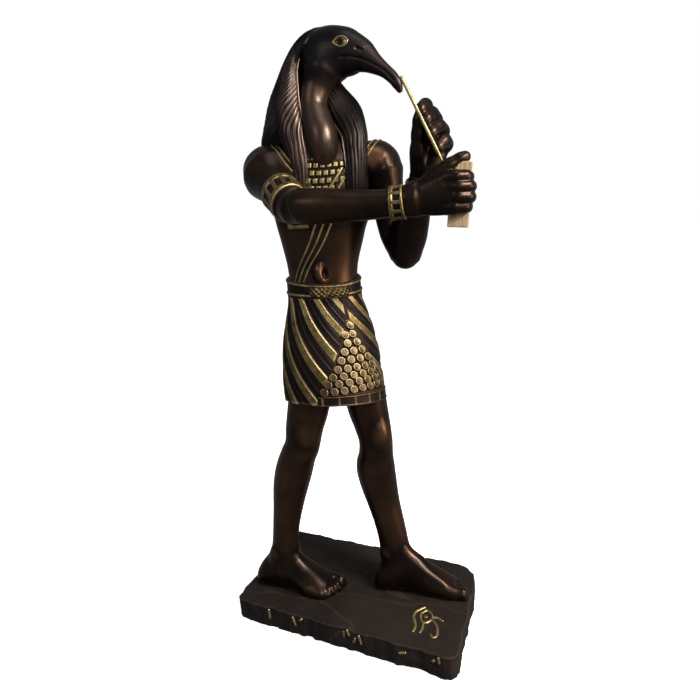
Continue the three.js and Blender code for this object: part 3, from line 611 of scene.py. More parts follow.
# The toes, from the big one. Each row: where its tip is, its offset, half width and height.
TOE_ROWS = [
    [51, 5.9, 3.2, 6.6],
    [50, 1.5, 2.4, 5.6],
    [48, -2.2, 2.3, 5.3],
    [45.9, -5.2, 2.2, 5],
    [43.4, -7.4, 2.1, 4.6],
]

# Each foot: its heel, the azimuth that it points to, and 1 where its inner side is on the left.
FEET = [([-58.2, -14.6], 5, 1), ([6.6, 3.4], 12, -1)]

# Fingers are rows of joints: x, y, z and radius. Those of the right hand are one finger set at four
# levels, with its knuckles a little farther forward or back.
RIGHT_FINGER_ROWS = np.array([
    [60, -25.9, 206.2, 2.4],
    [64.8, -26, 206.2, 2.4],
    [68.1, -23.6, 206.2, 2.2],
    [67.9, -19.8, 206.2, 2.1],
    [64.6, -18.4, 206.2, 2],
    [61.6, -18.6, 206.2, 1.2],
])
RIGHT_FINGER_LEVELS = [5.7, 1.95, -1.95, -5.6]
RIGHT_FINGER_REACH = [-0.7, 0.2, 0, -1.4]

RIGHT_THUMB = [
    [50, -26, 208.6, 3],
    [55.5, -24.6, 213, 2.9],
    [61, -22.8, 216.4, 2.7],
    [65, -21.2, 218.6, 2.3],
    [66.8, -20.4, 219.6, 1.5],
]

LEFT_THUMB = [
    [45.2, -9.5, 217, 3.2],
    [45, -12, 224, 3],
    [45.5, -13.6, 231, 2.4],
    [46.3, -14.6, 236.2, 2],
    [46.7, -14.9, 238.2, 1.3],
]

LEFT_FINGERS = [
    [[48.4, -5, 232.5, 2.5], [48, -4.6, 239, 2.4], [47.7, -9, 242.4, 2.3], [47.4, -13.8, 240.4, 2],
     [47.3, -15, 239.4, 1.3]],
    [[50.2, -4.6, 231, 2.5], [50.6, -4.4, 236.5, 2.5], [50, -9, 238.8, 2.5], [49.4, -14, 236, 2.3],
     [49.4, -14.8, 234, 1.4]],
    [[51.6, -4.6, 229, 2.5], [53.4, -4.6, 232, 2.5], [52.8, -9.4, 233.6, 2.5], [51.4, -14, 230.6, 2.3],
     [51.2, -14.6, 228.6, 1.4]],
    [[51.6, -5.5, 223.5, 2.4], [55.2, -5.6, 226.3, 2.3], [55.4, -9.8, 227.6, 2.3], [53.8, -13.4, 224.6, 2.1],
     [53.2, -13.8, 222.8, 1.3]],
]

TABLET_SPOT = np.array([64.6, -22.3, 205.3])
TABLET_SIZE = np.array([8.4, 2.8, 25.0])
TABLET_CORNER = 0.45
STYLUS_TOP = np.array([40.4, -17, 252.9])
STYLUS_AIM = np.array([57, -18.4, 218.5])
STYLUS_LENGTH = 38.0
STYLUS_RADIUS = 0.74
STYLUS_LINE = unit(STYLUS_AIM - STYLUS_TOP)


def tablet_axes():
    """The directions of the tablet's sides, turned and leaning a little."""
    turn, lean = 14 * DEGREE, 4.8 * DEGREE
    about_z = np.array([[np.cos(turn), -np.sin(turn), 0], [np.sin(turn), np.cos(turn), 0], [0, 0, 1]])
    about_y = np.array([[np.cos(lean), 0, np.sin(lean)], [0, 1, 0], [-np.sin(lean), 0, np.cos(lean)]])
    return about_z @ about_y


# Materials

class Paint:
    """A material and its nodes. What feeds a node or the shader is a number, a colour or an output."""

    def __init__(self, name):
        self.material = bpy.data.materials.new(name)
        self.material.use_nodes = True
        self.tree = self.material.node_tree
        self.shader = self.tree.nodes["Principled BSDF"]

    def feed(self, socket, value):
        if isinstance(value, tuple):
            socket.default_value = (*value, 1)
        elif isinstance(value, (int, float)):
            socket.default_value = value
        else:
            self.tree.links.new(value, socket)

    def node(self, kind, **values):
        made = self.tree.nodes.new(kind)
        for name, value in values.items():
            self.feed(made.inputs[name.replace("_", " ")], value)
        return made

    def surface(self, **values):
        """Sets the shader's own sockets."""
        for name, value in values.items():
            self.feed(self.shader.inputs[name.replace("_", " ")], value)

    def noise(self, scale, detail, stretch=(1, 1, 1)):
        place = self.node("ShaderNodeTexCoord")
        spread = self.node("ShaderNodeMapping", Vector=place.outputs["Object"])
        spread.inputs["Scale"].default_value = stretch
        vector = spread.outputs["Vector"]
        return self.node("ShaderNodeTexNoise", Scale=scale, Detail=detail, Vector=vector).outputs["Fac"]

    def ramp(self, source, *stops):
        made = self.node("ShaderNodeValToRGB", Fac=source)
        for element, (position, colour) in zip(made.color_ramp.elements, stops):
            element.position = position
            element.color = (*colour, 1)
        return made.outputs["Color"]

    def combine(self, operation, a, b):
        made = self.node("ShaderNodeMath")
        made.operation = operation
        made.use_clamp = True
        self.feed(made.inputs[0], a)
        self.feed(made.inputs[1], b)
        return made.outputs["Value"]

    def mix(self, share, a, b):
        made = self.node("ShaderNodeMix")
        made.data_type = "RGBA"
        for index, value in ((0, share), (6, a), (7, b)):
            self.feed(made.inputs[index], value)
        return made.outputs[2]

    def ranged(self, source, low, high, start=0.0, stop=1.0):
        """From low to high as the source goes from start to stop."""
        made = self.node(
            "ShaderNodeMapRange", Value=source, From_Min=start, From_Max=stop, To_Min=low, To_Max=high
        )
        return made.outputs["Result"]

    def bump(self, height, strength, distance):
        made = self.node("ShaderNodeBump", Height=height, Strength=strength, Distance=distance)
        return made.outputs["Normal"]

    def field(self, name):
        made = self.node("ShaderNodeAttribute")
        made.attribute_name = name
        return made.outputs["Fac"]


GOLD_DARK = (0.12, 0.085, 0.032)
GOLD_BRIGHT = (0.46, 0.385, 0.18)


def metal(name, dark, worn, rough, wear_from=0.35):
    """Patinated bronze that goes to copper on what stands proud and on painted highlights, and stays dark
    under painted shade, gilded where the gold field is set.
    """
    paint = Paint(name)
    clouds = paint.noise(45, 5)
    brush = paint.noise(380, 5)
    wear_and_painted_light = paint.field("wear_and_painted_light")
    patches = paint.ranged(clouds, 0, 0.14, 0.42, 0.75)
    bronze = paint.mix(paint.combine("ADD", paint.ranged(wear_and_painted_light, 0, 1, wear_from, 1.3), patches), dark, worn)
    strokes = paint.ranged(brush, 0, 0.35, 0.35, 0.75)
    bright = paint.combine("ADD", strokes, paint.ranged(wear_and_painted_light, 0, 0.8, 0.15, 0.9))
    cover = paint.combine("MULTIPLY", paint.field("gold"), paint.ranged(brush, 0.75, 1, 0.3, 0.55))
    paint.surface(
        Base_Color=paint.mix(cover, bronze, paint.mix(bright, GOLD_DARK, GOLD_BRIGHT)),
        Metallic=0.85,
        Roughness=paint.ranged(clouds, rough - 0.07, rough + 0.1),
        Normal=paint.bump(paint.noise(2400, 3), 0.1, 0.0001),
    )
    return paint.material


def stone():
    """Dark cast stone with lighter worn edges and a few thin winding scratches."""
    paint = Paint("cast_stone")
    clouds = paint.noise(38, 8)
    fine = paint.noise(700, 6)
    course = paint.noise(30, 2, (0.3, 1, 1))
    base = paint.ramp(clouds, (0.3, (0.0038, 0.0026, 0.0022)), (0.7, (0.0165, 0.0115, 0.0092)))
    wear_and_painted_light = paint.ranged(paint.field("wear_and_painted_light"), 0, 0.2, 0.35, 1.3)
    scratch = paint.combine(
        "MULTIPLY", paint.ranged(course, 0, 1, 0.492, 0.5), paint.ranged(course, 0.22, 0, 0.5, 0.508)
    )
    paint.surface(
        Base_Color=paint.mix(paint.combine("ADD", wear_and_painted_light, scratch), base, (0.085, 0.056, 0.04)),
        Metallic=0.1,
        Specular_IOR_Level=0.25,
        Roughness=paint.ranged(fine, 0.55, 0.85),
        Normal=paint.bump(paint.combine("ADD", fine, clouds), 0.9, 0.0009),
    )
    return paint.material


def brass():
    paint = Paint("pale_brass")
    clouds = paint.noise(420, 5, (1, 1, 0.3))
    paint.surface(
        Base_Color=paint.ramp(clouds, (0.3, (0.15, 0.13, 0.06)), (0.68, (0.42, 0.38, 0.20))),
        Metallic=0.7,
        Roughness=paint.ranged(clouds, 0.36, 0.6),
        Normal=paint.bump(clouds, 0.25, 0.0002),
    )
    return paint.material


def board():
    """Tan wood, its grain running along the board, lighter where it is worn."""
    paint = Paint("writing_board")
    streaks = paint.noise(900, 6, (1, 1, 0.06))
    base = paint.ramp(streaks, (0.3, (0.16, 0.115, 0.062)), (0.7, (0.42, 0.32, 0.19)))
    wear_and_painted_light = paint.combine("MULTIPLY", paint.field("wear_and_painted_light"), 0.5)
    paint.surface(
        Base_Color=paint.mix(wear_and_painted_light, base, (0.36, 0.29, 0.19)),
        Roughness=paint.ranged(streaks, 0.6, 0.85),
        Normal=paint.bump(streaks, 0.4, 0.0003),
    )
    return paint.material


SKIN_METAL = metal("skin_bronze", (0.014, 0.009, 0.0072), (0.22, 0.11, 0.055), 0.3, 0.45)
HEAD_METAL = metal("head_bronze", (0.009, 0.0083, 0.0105), (0.15, 0.095, 0.068), 0.34)
WIG_METAL = metal("wig_bronze", (0.008, 0.0063, 0.0072), (0.32, 0.215, 0.165), 0.38, 0.15)
DRESS_METAL = metal("dress_bronze", (0.0095, 0.0068, 0.0086), (0.13, 0.075, 0.04), 0.42)
STONE = stone()
BRASS = brass()
BOARD = board()


# Legs and feet

BODY_VOXEL = 0.62
LIMB_PACE = 0.1

# The softness of a form that nothing is blended into yet.
FIRST = 0.1


def body_solid(form, low, high, pace=LIMB_PACE, columns=48):
    """A form from one of its keys to another."""
    return loft(form, span(low, high, pace), columns)


def foot_place(heel, azimuth, inner):
    """Places in a foot, from the distance ahead of the heel, the offset to its inner side and the height."""
    along = np.array([np.cos(azimuth * DEGREE), np.sin(azimuth * DEGREE), 0])
    across = np.array([-along[1], along[0], 0]) * inner

    def place(distance, offset, height):
        ahead, aside, above = (np.asarray(value)[..., None] for value in (distance, offset, height))
        return np.array([*heel, 0.0]) + along * ahead + across * aside + np.array([0, 0, 1.0]) * above

    return place


def foot_solids(place, inner):
    """The instep and the five toes."""

    def instep(turn, distance, _):
        _, half, top, drift = np.moveaxis(row_at(FOOT_ROWS, distance), -1, 0)
        rise = np.maximum(np.cos(turn) * 0.5 + 0.5, 0) ** 1.15
        flank = np.sign(np.sin(turn)) * np.abs(np.sin(turn)) ** 0.75 * (1 - 0.32 * rise**2)
        return place(distance, drift - half * flank * inner, top * rise)

    solids = [loft(instep, span(0, FOOT_ROWS[-1, 0], 1), 48)]
    for tip, offset, half, top in TOE_ROWS:
        rows = np.array([
            [tip - 14, offset * 0.92, half, top * 1.35],
            [tip - 8, offset, half * 0.98, top * 1.1],
            [tip - 5, offset, half * 0.98, top],
            [tip - 2, offset, half, top * 0.9],
            [tip, offset, half * 0.4, top * 0.4],
        ])

        def toe(turn, distance, _, rows=rows):
            _, shift, wide, high = np.moveaxis(row_at(rows, distance), -1, 0)
            return place(distance, shift - wide * np.sin(turn) * inner, high * (1 + np.cos(turn)) / 2)

        solids.append(loft(toe, span(tip - 12, tip, 0.5), 24))
    return solids


def side_axes(facing):
    """The directions ahead, to the left and up of what faces a level way."""
    facing = unit(np.asarray(facing, float))
    return np.array([facing, np.cross([0, 0, 1], facing), [0, 0, 1]])


RIGHT_KNEECAP = (20 * DEGREE, 2.05)
LEFT_KNEECAP = (12 * DEGREE, 2.55)
TOE_SOFTNESS = (2, 1.6, 1.6, 1.8, 2.6)
NAIL_SLOPE = 0.35
NAIL_GOLD = (0.1, 0.03, 0.03, 0.03, 0.03)


def legs():
    """Legs with kneecaps and ankle bones, and feet with toes and nails. Their tops are inside the kilt."""
    wax = Wax([-62, -28, -2], [62, 24, 130], BODY_VOXEL, 4.4)
    for form, kneecap, ankle, facing in (
        (right_leg, RIGHT_KNEECAP, [-41, -12, 20], RIGHT_LEG_FACING),
        (left_leg, LEFT_KNEECAP, [17.1, 9, 20], LEFT_LEG_FACING),
    ):
        wax.add(body_solid(form, 0, 11, 0.15), FIRST)
        axes = side_axes(facing)
        wax.egg(form(*kneecap, -2.3), [2.8, 4, 5.6], 4.2, axes)
        for side in (-1, 1):
            wax.egg(ankle + axes[1] * 6.9 * side, [3, 1.6, 3.6], 3.5, axes)
    nails = []
    for heel, azimuth, inner in FEET:
        place = foot_place(heel, azimuth, inner)
        instep, *toes = foot_solids(place, inner)
        wax.add(instep, 3.2)
        for toe, softness in zip(toes, TOE_SOFTNESS):
            wax.add(toe, softness)
        along = unit(place(1.0, 0, -NAIL_SLOPE) - place(0.0, 0, 0))
        across = place(0.0, 1, 0) - place(0.0, 0, 0)
        for (tip, offset, half, top), shade in zip(TOE_ROWS, NAIL_GOLD):
            knuckle = place([tip - 14, tip - 26], [offset * 0.9, offset * 0.55], [top * 1.3, top * 1.3 + 7])
            wax.bar(knuckle, [1.5, 1.2], 2.2)
            nail = place(tip - 2.4, offset, top * 0.9)
            wax.egg(nail, [1.4, half * 0.6, 0.4], 0.7, [along, across, np.cross(along, across)])
            nails.append((place(tip - 1.4, offset, top * 0.95), half, shade))
    wax.keep(Z_AXIS, 0, 116)
    solid = wax.skin()
    gold = np.zeros(len(solid[0]))
    for nail, half, shade in nails:
        away = np.linalg.norm(solid[0] - nail, axis=-1)
        gold = np.maximum(gold, shade * ease(half * 0.9, half * 0.3, away))
    height = solid[0][:, 2]
    # The legs are made warmer above the ankles and darker towards the soles, and a painted highlight is put
    # on the left kneecap.
    given_wear_and_painted_light = 0.42 * ease(12, 26, height) - 0.25 * ease(14, 6, height)
    given_wear_and_painted_light += 0.25 * ease(4.5, 1, np.linalg.norm(solid[0] - left_leg(*LEFT_KNEECAP), axis=-1))
    piece("legs", solid, gold, SKIN_METAL, 40, 1.2, given_wear_and_painted_light)


# Torso, shoulders and arms

# Where a painted highlight lies on the left shoulder.
PAINTED_SHOULDER_HIGHLIGHT = np.array([18, 2, 226])
CHEST_MIDDLE = np.array([-8.3, 0.5, 0])

# The furrow of the spine: how far it lies behind the chest's middle, and its heights.
SPINE = [(12.2, 172), (13.3, 190), (14.8, 206)]

# The navel and the fold of skin round it: turns on the torso in degrees, and heights.
NAVEL = (-0.2, 174.4)
NAVEL_FOLD = [(-5, 178.5), (-8.2, 176), (-8.4, 173.6), (-4.5, 171.3)]


def torso_and_arms():
    """The torso down to inside the belt, with the shoulders and the arms down to the wrists. Gives back
    its skin as a tree, for what is laid on it."""
    wax = Wax([-48, -46, 150], [50, 26, 240], BODY_VOXEL, 5.0)
    wax.add(body_solid(torso, 160, 238, 1.5, 64), FIRST)
    for form, last in ((girdle, 4), (right_blade, 2), (left_blade, 2)):
        wax.add(body_solid(form, 0, last), 5)

    # The balls of the shoulders, the upper arms, then each elbow and forearm.
    wax.egg([-29.6, -13.3, 223], [10.6, 10.6, 11], 4.5)
    wax.egg([18, 11, 222.5], [10.1, 10.1, 10.6], 4.8)
    wax.add(body_solid(right_upper_arm, 0.4, 3.4), 4.5)
    wax.add(body_solid(left_upper_arm, 0.5, 3.95), 4.8)
    wax.egg([-2.8, -33.4, 205.2], [7.4, 7.3, 7.2], 1.5)
    wax.add(body_solid(right_forearm, 0.4, 4.15), 4)
    wax.egg([30.8, 6.5, 181.3], [6.8, 6.5, 7], 1.5)
    wax.add(body_solid(left_forearm, 0.3, 3.9), 3.2)
    front = np.array([np.sin(CHEST_AZIMUTH * DEGREE), -np.cos(CHEST_AZIMUTH * DEGREE), 0])
    side = np.array([-front[1], front[0], 0])
    axes = np.array([side, front, [0, 0, 1]])

    def inside(ahead, aside, height):
        return CHEST_MIDDLE + front * ahead + side * aside + [0, 0, height]

    # The breast and the collar bones, the furrow of the spine, and the navel under its fold.
    for hand in (-1, 1):
        wax.egg(inside(9.2, 10 * hand, 212), [9.5, 5.4, 8], 3.5, axes)
        wax.bar([inside(8, 2 * hand, 227.5), inside(4.5, 17 * hand, 229)], [2, 1.6], 3)
    wax.bar([inside(-depth, 0, height) for depth, height in SPINE], [1.6, 1.6, 1.4], 4, carve=True)
    fold = [torso(turn * DEGREE, height, -0.7) for turn, height in NAVEL_FOLD]
    wax.bar(fold, [0.6, 0.9, 0.9, 0.6], 2.4)
    wax.egg(torso(NAVEL[0] * DEGREE, NAVEL[1], 0.3), [1.1, 1.3, 2.2], 1.3, axes, carve=True)
    wax.keep(Z_AXIS, 158, 240)
    wax.keep(Y_AXIS, NEAR_SIDE, 30)
    solid = wax.skin()
    # The belly is made warmer, and a patch of painted highlight is put on the left shoulder.
    given_wear_and_painted_light = 0.5 * ease(206, 192, solid[0][:, 2]) * ease(26, 20, solid[0][:, 0])
    given_wear_and_painted_light += 1.1 * ease(8, 2, np.linalg.norm(solid[0] - PAINTED_SHOULDER_HIGHLIGHT, axis=-1))
    piece("torso", solid, 0, SKIN_METAL, 40, 0.9, given_wear_and_painted_light)
    return tree_of(solid)


# Hands

# The gaps left in the hands round the tablet and round the rod.
GRIP_ROOM = (0.12, 0.11)


def finger(rows):
    """The points and radii of a finger through its joints, where it is a little thicker."""
    keys = span(0, len(rows) - 1, LIMB_PACE)
    spots = through(np.arange(len(rows)), rows, keys)
    return spots[:, :3], spots[:, 3] * (1 + 0.06 * np.cos(2 * np.pi * keys))


def hands():
    """Both hands, with room left in them for the tablet and the rod."""
    wax = Wax([38, -36, 190], [76, 4, 248], 0.4, 3.2)
    wax.add(body_solid(right_forearm, 3.4, 5), FIRST)
    wax.add(body_solid(right_palm, 0, 3), 3.2)
    wax.add(body_solid(left_forearm, 3.1, 4), 0.3)
    wax.add(body_solid(left_palm, 0, 3), 2)
    for level, reach in zip(RIGHT_FINGER_LEVELS, RIGHT_FINGER_REACH):
        rows = RIGHT_FINGER_ROWS.copy()
        rows[:, 2] += level
        rows[1:4, 0] += reach
        wax.bar(*finger(rows), 0.7)
        wax.egg(rows[0, :3] + [1.2, -1.0, 0], [2.6, 2, 2.1], 1.2)
        wax.bar([rows[0, :3] + [0, -0.9, 0], [51, -28.5, 205 + level * 0.5]], [1.3, 0.7], 1.6)
    for rows in (RIGHT_THUMB, LEFT_THUMB, *LEFT_FINGERS):
        wax.bar(*finger(rows), 0.8)
    slices, spots = wax.window([58, -28, 190], [72, -16, 222])
    away = off_box((spots - TABLET_SPOT) @ tablet_axes(), TABLET_SIZE / 2 + GRIP_ROOM[0])
    wax.shape(slices, away, 0.15, True)
    rod = [STYLUS_TOP - STYLUS_LINE, STYLUS_TOP + STYLUS_LINE * (STYLUS_LENGTH + 1)]
    wax.bar(rod, [STYLUS_RADIUS + GRIP_ROOM[1]] * 2, 0.15, carve=True)
    wax.keep(X_AXIS, 38, FRONT_SIDE)
    piece("hands", wax.skin(), 0, SKIN_METAL, 30, 0.8)


# Head

MOUTH = [[9.8, 267.3], [13, 267.3], [18.4, 265.8], [23.3, 263.1], [28, 259.8], [31.8, 255.5]]
EYE_SPOT = np.array([10.2, 7.8, 273.2])
EYE_TILT = 12 * DEGREE
EYE_SPLAY = 16 * DEGREE
EYE_HALF = (3.25, 2.1)
EYE_COLUMNS = 48


def almond(share, count):
    """The outline of an eye in its own plane, pointed at its back corner, or a share of its size."""
    angle = turns(count)
    x = np.cos(angle)
    pinch = np.where(x < 0, 0.75 * x**2, 0.25 * x**4)
    return np.stack([x * EYE_HALF[0], np.sin(angle) * (1 - pinch) * EYE_HALF[1]], -1) * share


def eye_point(side, flat, out):
    """A point of the eye's plane, given along the head, up, and out from it."""
    level = np.array([np.sin(EYE_SPLAY), side * np.cos(EYE_SPLAY), 0])
    along = np.array([np.cos(EYE_SPLAY), -side * np.sin(EYE_SPLAY), 0])
    top = np.array([0, 0, 1.0])
    away = level * np.cos(EYE_TILT) + top * np.sin(EYE_TILT)
    up = top * np.cos(EYE_TILT) - level * np.sin(EYE_TILT)
    return EYE_SPOT * [1, side, 1] + along * flat[..., :1] + up * flat[..., 1:] + away * out


def eye(tree, side, name):
    """The ball and the gilt rim of an eye, laid on the head."""
    inward = eye_point(side, np.zeros(2), 0.0) - eye_point(side, np.zeros(2), 1.0)

    def on_head(flat, proud):
        hits = [tree.ray_cast(Vector(spot), Vector(inward))[0] for spot in eye_point(side, flat, 6.0)]
        return np.array(hits) - inward * proud

    rim = tube(on_head(almond(1, 72), 0.12), 0.42, 10, True)
    sizes = np.linspace(0.94, 0.06, 14)
    rings = [on_head(almond(size, EYE_COLUMNS), 0.55 * (1 - size**2) - 0.05) for size in sizes]
    quads = grid_quads(EYE_COLUMNS, len(rings), True)[:, ::side]
    flat = np.concatenate([almond(size, EYE_COLUMNS) for size in sizes])
    iris = 0.5 * ease(1.1, 1.7, np.linalg.norm(flat - [0.3, 0], axis=-1))
    ball = (np.concatenate(rings), quads, NO_TRIANGLES)
    solid, gold = together([(rim, np.full(len(rim[0]), 0.95)), (ball, iris)])
    piece(name, solid, gold, HEAD_METAL, 4, 0.2)


def head_and_neck():
    """The head with the line of its mouth and its nostrils, the neck and the eyes."""
    wax = Wax([-24, -18, 218], [38, 14, 286], 0.39, 3.6)
    wax.add(body_solid(head, 0, 11), FIRST)
    wax.add(body_solid(neck, 0.25, 6), 2.5)
    wax.egg([-1.2, -1.2, 265.2], [8.5, 9.5, 7.4], 3)
    slices, spots = wax.window([4, -14, 250], [38, 14, 272])
    course = through(np.arange(len(MOUTH)), MOUTH, span(0, len(MOUTH) - 1, LIMB_PACE))
    flat = spots[..., [0, 2]]
    line = np.full(flat.shape[:-1], wax.reach)
    for start, stop in zip(course[:-1], course[1:]):
        line = np.minimum(line, off_line(flat, start, stop)[0])
    wax.engrave(slices, line, 0.32, 0.55, 0.6)
    for side in (-1, 1):
        wax.bar([[16.8, side * 5.9, 270.2], [18.9, side * 5, 269]], [0.7, 0.4], 0.5, carve=True)
        wax.bar([[16, side * 5.1, 271.3], [18.9, side * 4.2, 270.2]], [0.4, 0.3], 1.2)
    solid = wax.skin()
    warmth = 0.6 * ease(268, 254, solid[0][:, 2]) * ease(14, 8, solid[0][:, 0])
    piece("head", solid, 0, HEAD_METAL, 30, 0.9, warmth)
    tree = tree_of(solid)
    eye(tree, -1, "right_eye")
    eye(tree, 1, "left_eye")


# Wig

# How far apart the locks lie: on the hood, on the right lappet and on the left one.
LOCK_PITCH = (2.1, 1.95, 1.75)
LOCK_DEPTH = 0.6
WIG_LOW = 206
WIG_TOP = 283

# How far the locks have leaned back at each of these heights.
LEAN_LEVELS = [WIG_LOW, 238, 247, 256, 266, WIG_TOP]
LEAN = [[0], [1.5], [6], [13], [24], [46]]

# Where on a lappet the edge of the face runs.
FACE_EDGE = 62 * DEGREE

hood = level_form([
    [206, -12.5, 7.5, 16.5, 6, 9.5, 28],
    [214, -13, 7, 20, 7, 11, 30],
    [226, -12.8, 6, 24, 8, 15, 38],
    [236, -13.8, 4, 24, 8.5, 19.2, 50],
    [245, -15, 3, 19.8, 7, 20, 64],
    [254, -15.2, 2, 15, 4.5, 18.2, 76],
    [263, -13.8, 1, 11.6, 3, 13.4, 84],
    [271, -11, 0.3, 9.6, 2.6, 10.6, 88],
    [277, -8, 0, 7.9, 6.5, 8.2, 90],
    [281, -6, 0, 5, 6.5, 5, 90],
    [283, -4.5, 0, 1.6, 2.5, 2.5, 90],
])

right_lappet = limb_form(CHEST_FACING, [
    [-11, -14.1, 207, 4.8, 3.4, 3],
    [-10.4, -13.6, 219, 5, 3.8, 3],
    [-11.4, -12.8, 229.5, 5.7, 4.4, 4],
    [-14.3, -12.2, 239.5, 6.5, 4.6, 5],
    [-16.2, -11.2, 249.5, 5.9, 4, 5],
    [-15.8, -10, 258, 4.6, 3.4, 4],
    [-14.9, -8.8, 266, 3.4, 2.8, 3.4],
    [-12.6, -6.8, 272.5, 2.6, 2.2, 3],
    [-8, -3.4, 278, 2, 1.8, 2.4],
])

left_lappet = limb_form(CHEST_FACING, [
    [12.6, -5, 207, 5.3, 3.4, 3],
    [12.7, -4.4, 214, 5.2, 3.8, 3],
    [12.2, -2.8, 222, 5.4, 4.4, 3],
    [11.2, -1, 230, 5.8, 5, 3.6],
    [9.8, 1, 237, 6.5, 5.5, 4],
    [5.3, 3.6, 246, 7.8, 5.5, 5],
    [0.3, 4.3, 255, 5.8, 5, 5],
    [-3.7, 4.6, 263, 4.1, 4, 4],
])


def strand(phase):
    """The relief of a lock of hair: a rounded ridge with a sharp furrow, for phases that count locks."""
    return np.abs(np.cos(np.pi * phase)) ** 0.8


def locks(away, height, pitch):
    """Locks that leave the face's edge and run down and back, at a distance from that edge."""
    wave = 0.28 * np.sin(height * 0.23 + away * 0.31) + 0.16 * np.sin(height * 0.51 + away * 0.9)
    course = (away + through(LEAN_LEVELS, LEAN, height)[..., 0] + wave) / pitch
    hairs = 0.25 * strand(course * 3 + 0.2 * np.sin(height * 0.4))
    depth = 0.75 + 0.25 * np.sin(away * 1.3 + height * 0.11)
    return LOCK_DEPTH * (0.75 * strand(course) * depth + hairs) - 0.35


def hood_shape(turn, height):
    """The same on both sides, so that the locks meet at the back."""
    back = np.pi - np.abs(turn - np.pi)
    return turn, ease(WIG_TOP, 279, height) * locks(back * 19, height, LOCK_PITCH[0])


def lappet_shape(form, face_side, pitch, reach, slanting):
    """Locks that hang nearly straight or, where they are slanting, lean with the height as the hood's do."""
    def shape(turn, key):
        height = form(np.zeros_like(key), key)[..., 2] if slanting else WIG_LOW + 5 * key
        away = (np.pi / 2 - wrapped(turn) * face_side) * reach
        return turn, locks(away, height, pitch)

    return shape


def face_edge(form, face_side, crown):
    """The roll of hair that frames the face, from the breast up to the crown."""
    rising = [form(FACE_EDGE * face_side, key, 0.25) for key in span(1.5, 7, 0.25)]
    course = course_through([*rising, *crown], 130)
    radius = 0.5 * np.interp(np.linspace(0, 1, len(course)), [0, 0.12, 0.9, 1], [0.3, 1, 1, 0.7])
    return tube(course, radius, 10)


def wig():
    crown = np.array([[-6.5, -7.4, 276], [-3.2, -5.6, 280], [-1.5, -2.8, 282], [-1.1, 0, 282.4]])
    right_shape = lappet_shape(right_lappet, 1, LOCK_PITCH[1], 5.2, True)
    left_shape = lappet_shape(left_lappet, -1, LOCK_PITCH[2], 5.6, False)
    solid = merged([
        loft(hood, span(WIG_LOW, WIG_TOP, 0.72), 360, hood_shape),
        loft(right_lappet, span(0, 8, 0.085), 150, right_shape),
        loft(left_lappet, span(0, 7, 0.085), 150, left_shape),
        face_edge(right_lappet, 1, crown),
        face_edge(left_lappet, -1, crown * [1, -1, 1]),
    ])
    x, _, z = solid[0].T
    # Painted shade darkens the back of the wig and the far lappet; the wig is also darker high on the hood
    # and darker still at the crown.
    shade = -0.9 * ease(-15, -25, x) - 0.25 * ease(0, 6, x) - 0.4 * ease(262, 274, z) - ease(276, 281, z)
    piece("wig", solid, 0, WIG_METAL, 6, 0.2, shade)


# Kilt, apron and belt

KILT_TOP = 166
HEM = 110
HEM_TILT = 2.3
HEM_TILT_TURN = -60 * DEGREE
HEM_BAND = 4.7
PLEATS = 14
PLEAT_TURN = -57.4 * DEGREE
PLEAT_TWIST = 1.22
PLEAT_FAN = 0.29
PLEAT_FAN_TURN = 80 * DEGREE
PLEAT_COLUMNS = 30

level_kilt = level_form([
    [HEM + (KILT_TOP - HEM) * share, *rest] for share, *rest in (
        [0, -7.6, -1.2, 25.7, 18.3, 18, HIP_AZIMUTH],
        [0.21, -8.2, -0.9, 25.3, 17.8, 17, HIP_AZIMUTH],
        [0.45, -8.8, -0.5, 24.1, 16.9, 15.8, HIP_AZIMUTH],
        [0.68, -9.5, 0, 21.7, 15.4, 14.2, HIP_AZIMUTH],
        [0.89, -10, 0, 18.4, 13.4, 12.6, HIP_AZIMUTH],
        [1, -10.2, 0, 17.7, 12.7, 11.8, HIP_AZIMUTH],
    )
])


def hem_lift(turn, height):
    """How far the kilt hangs higher or lower there than a level one, most of all at its hem."""
    return HEM_TILT * np.cos(turn - HEM_TILT_TURN) * ((KILT_TOP - height) / (KILT_TOP - HEM)) ** 3


def kilt(turn, height, out=0.0):
    """The kilt's form, its hem tilted."""
    turn, height, out = np.broadcast_arrays(turn, height, out)
    spot = level_kilt(turn, height, out)
    spot[..., 2] += hem_lift(turn, height)
    return spot


APRON_TURN = 20.5 * DEGREE
APRON_LOW = HEM + HEM_BAND
APRON_HIGH = KILT_TOP - 14
APRON_HALF = (43 * DEGREE, 3.5 * DEGREE)
APRON_HEM = (-27 * DEGREE, 86 * DEGREE)
HEM_TICKS = 20
HEM_TICK_TURN = -22 * DEGREE

# The rows of round scales: how high each lies, the turns of its first and last scale, and their number.
SCALE_ROWS = [
    (149.1, 21, 21, 1), (144.9, 12, 22, 2), (140.8, 13, 26, 2), (136.9, 8, 31, 3), (132.9, 3, 38, 4),
    (128.8, -2, 43, 5), (125.3, -8, 51, 6), (121.9, -14, 56, 7), (118.3, -19, 57, 8),
]
SCALE_RADIUS = 2.05
SCALE_COLUMNS = 20

# The rings of a scale, from its root to its middle: share of the radius, height and gilding.
SCALE_RINGS = [
    (1.0, -0.9, 0), (1.02, 0.1, 0.3), (0.97, 0.4, 0.8), (0.84, 0.5, 1), (0.66, 0.43, 0.8), (0.4, 0.36, 0.6),
    (0.12, 0.34, 0.5),
]
# The turn on each scale at which its painted highlight is brightest.
SCALE_HIGHLIGHT_TURN = 55 * DEGREE


def fanned(turn):
    """How far along the pleats' own measure a turn lies. A pleat moves evenly along it on its way down."""
    return (1 - PLEAT_FAN) * turn - PLEAT_FAN * np.sin(turn - PLEAT_FAN_TURN)


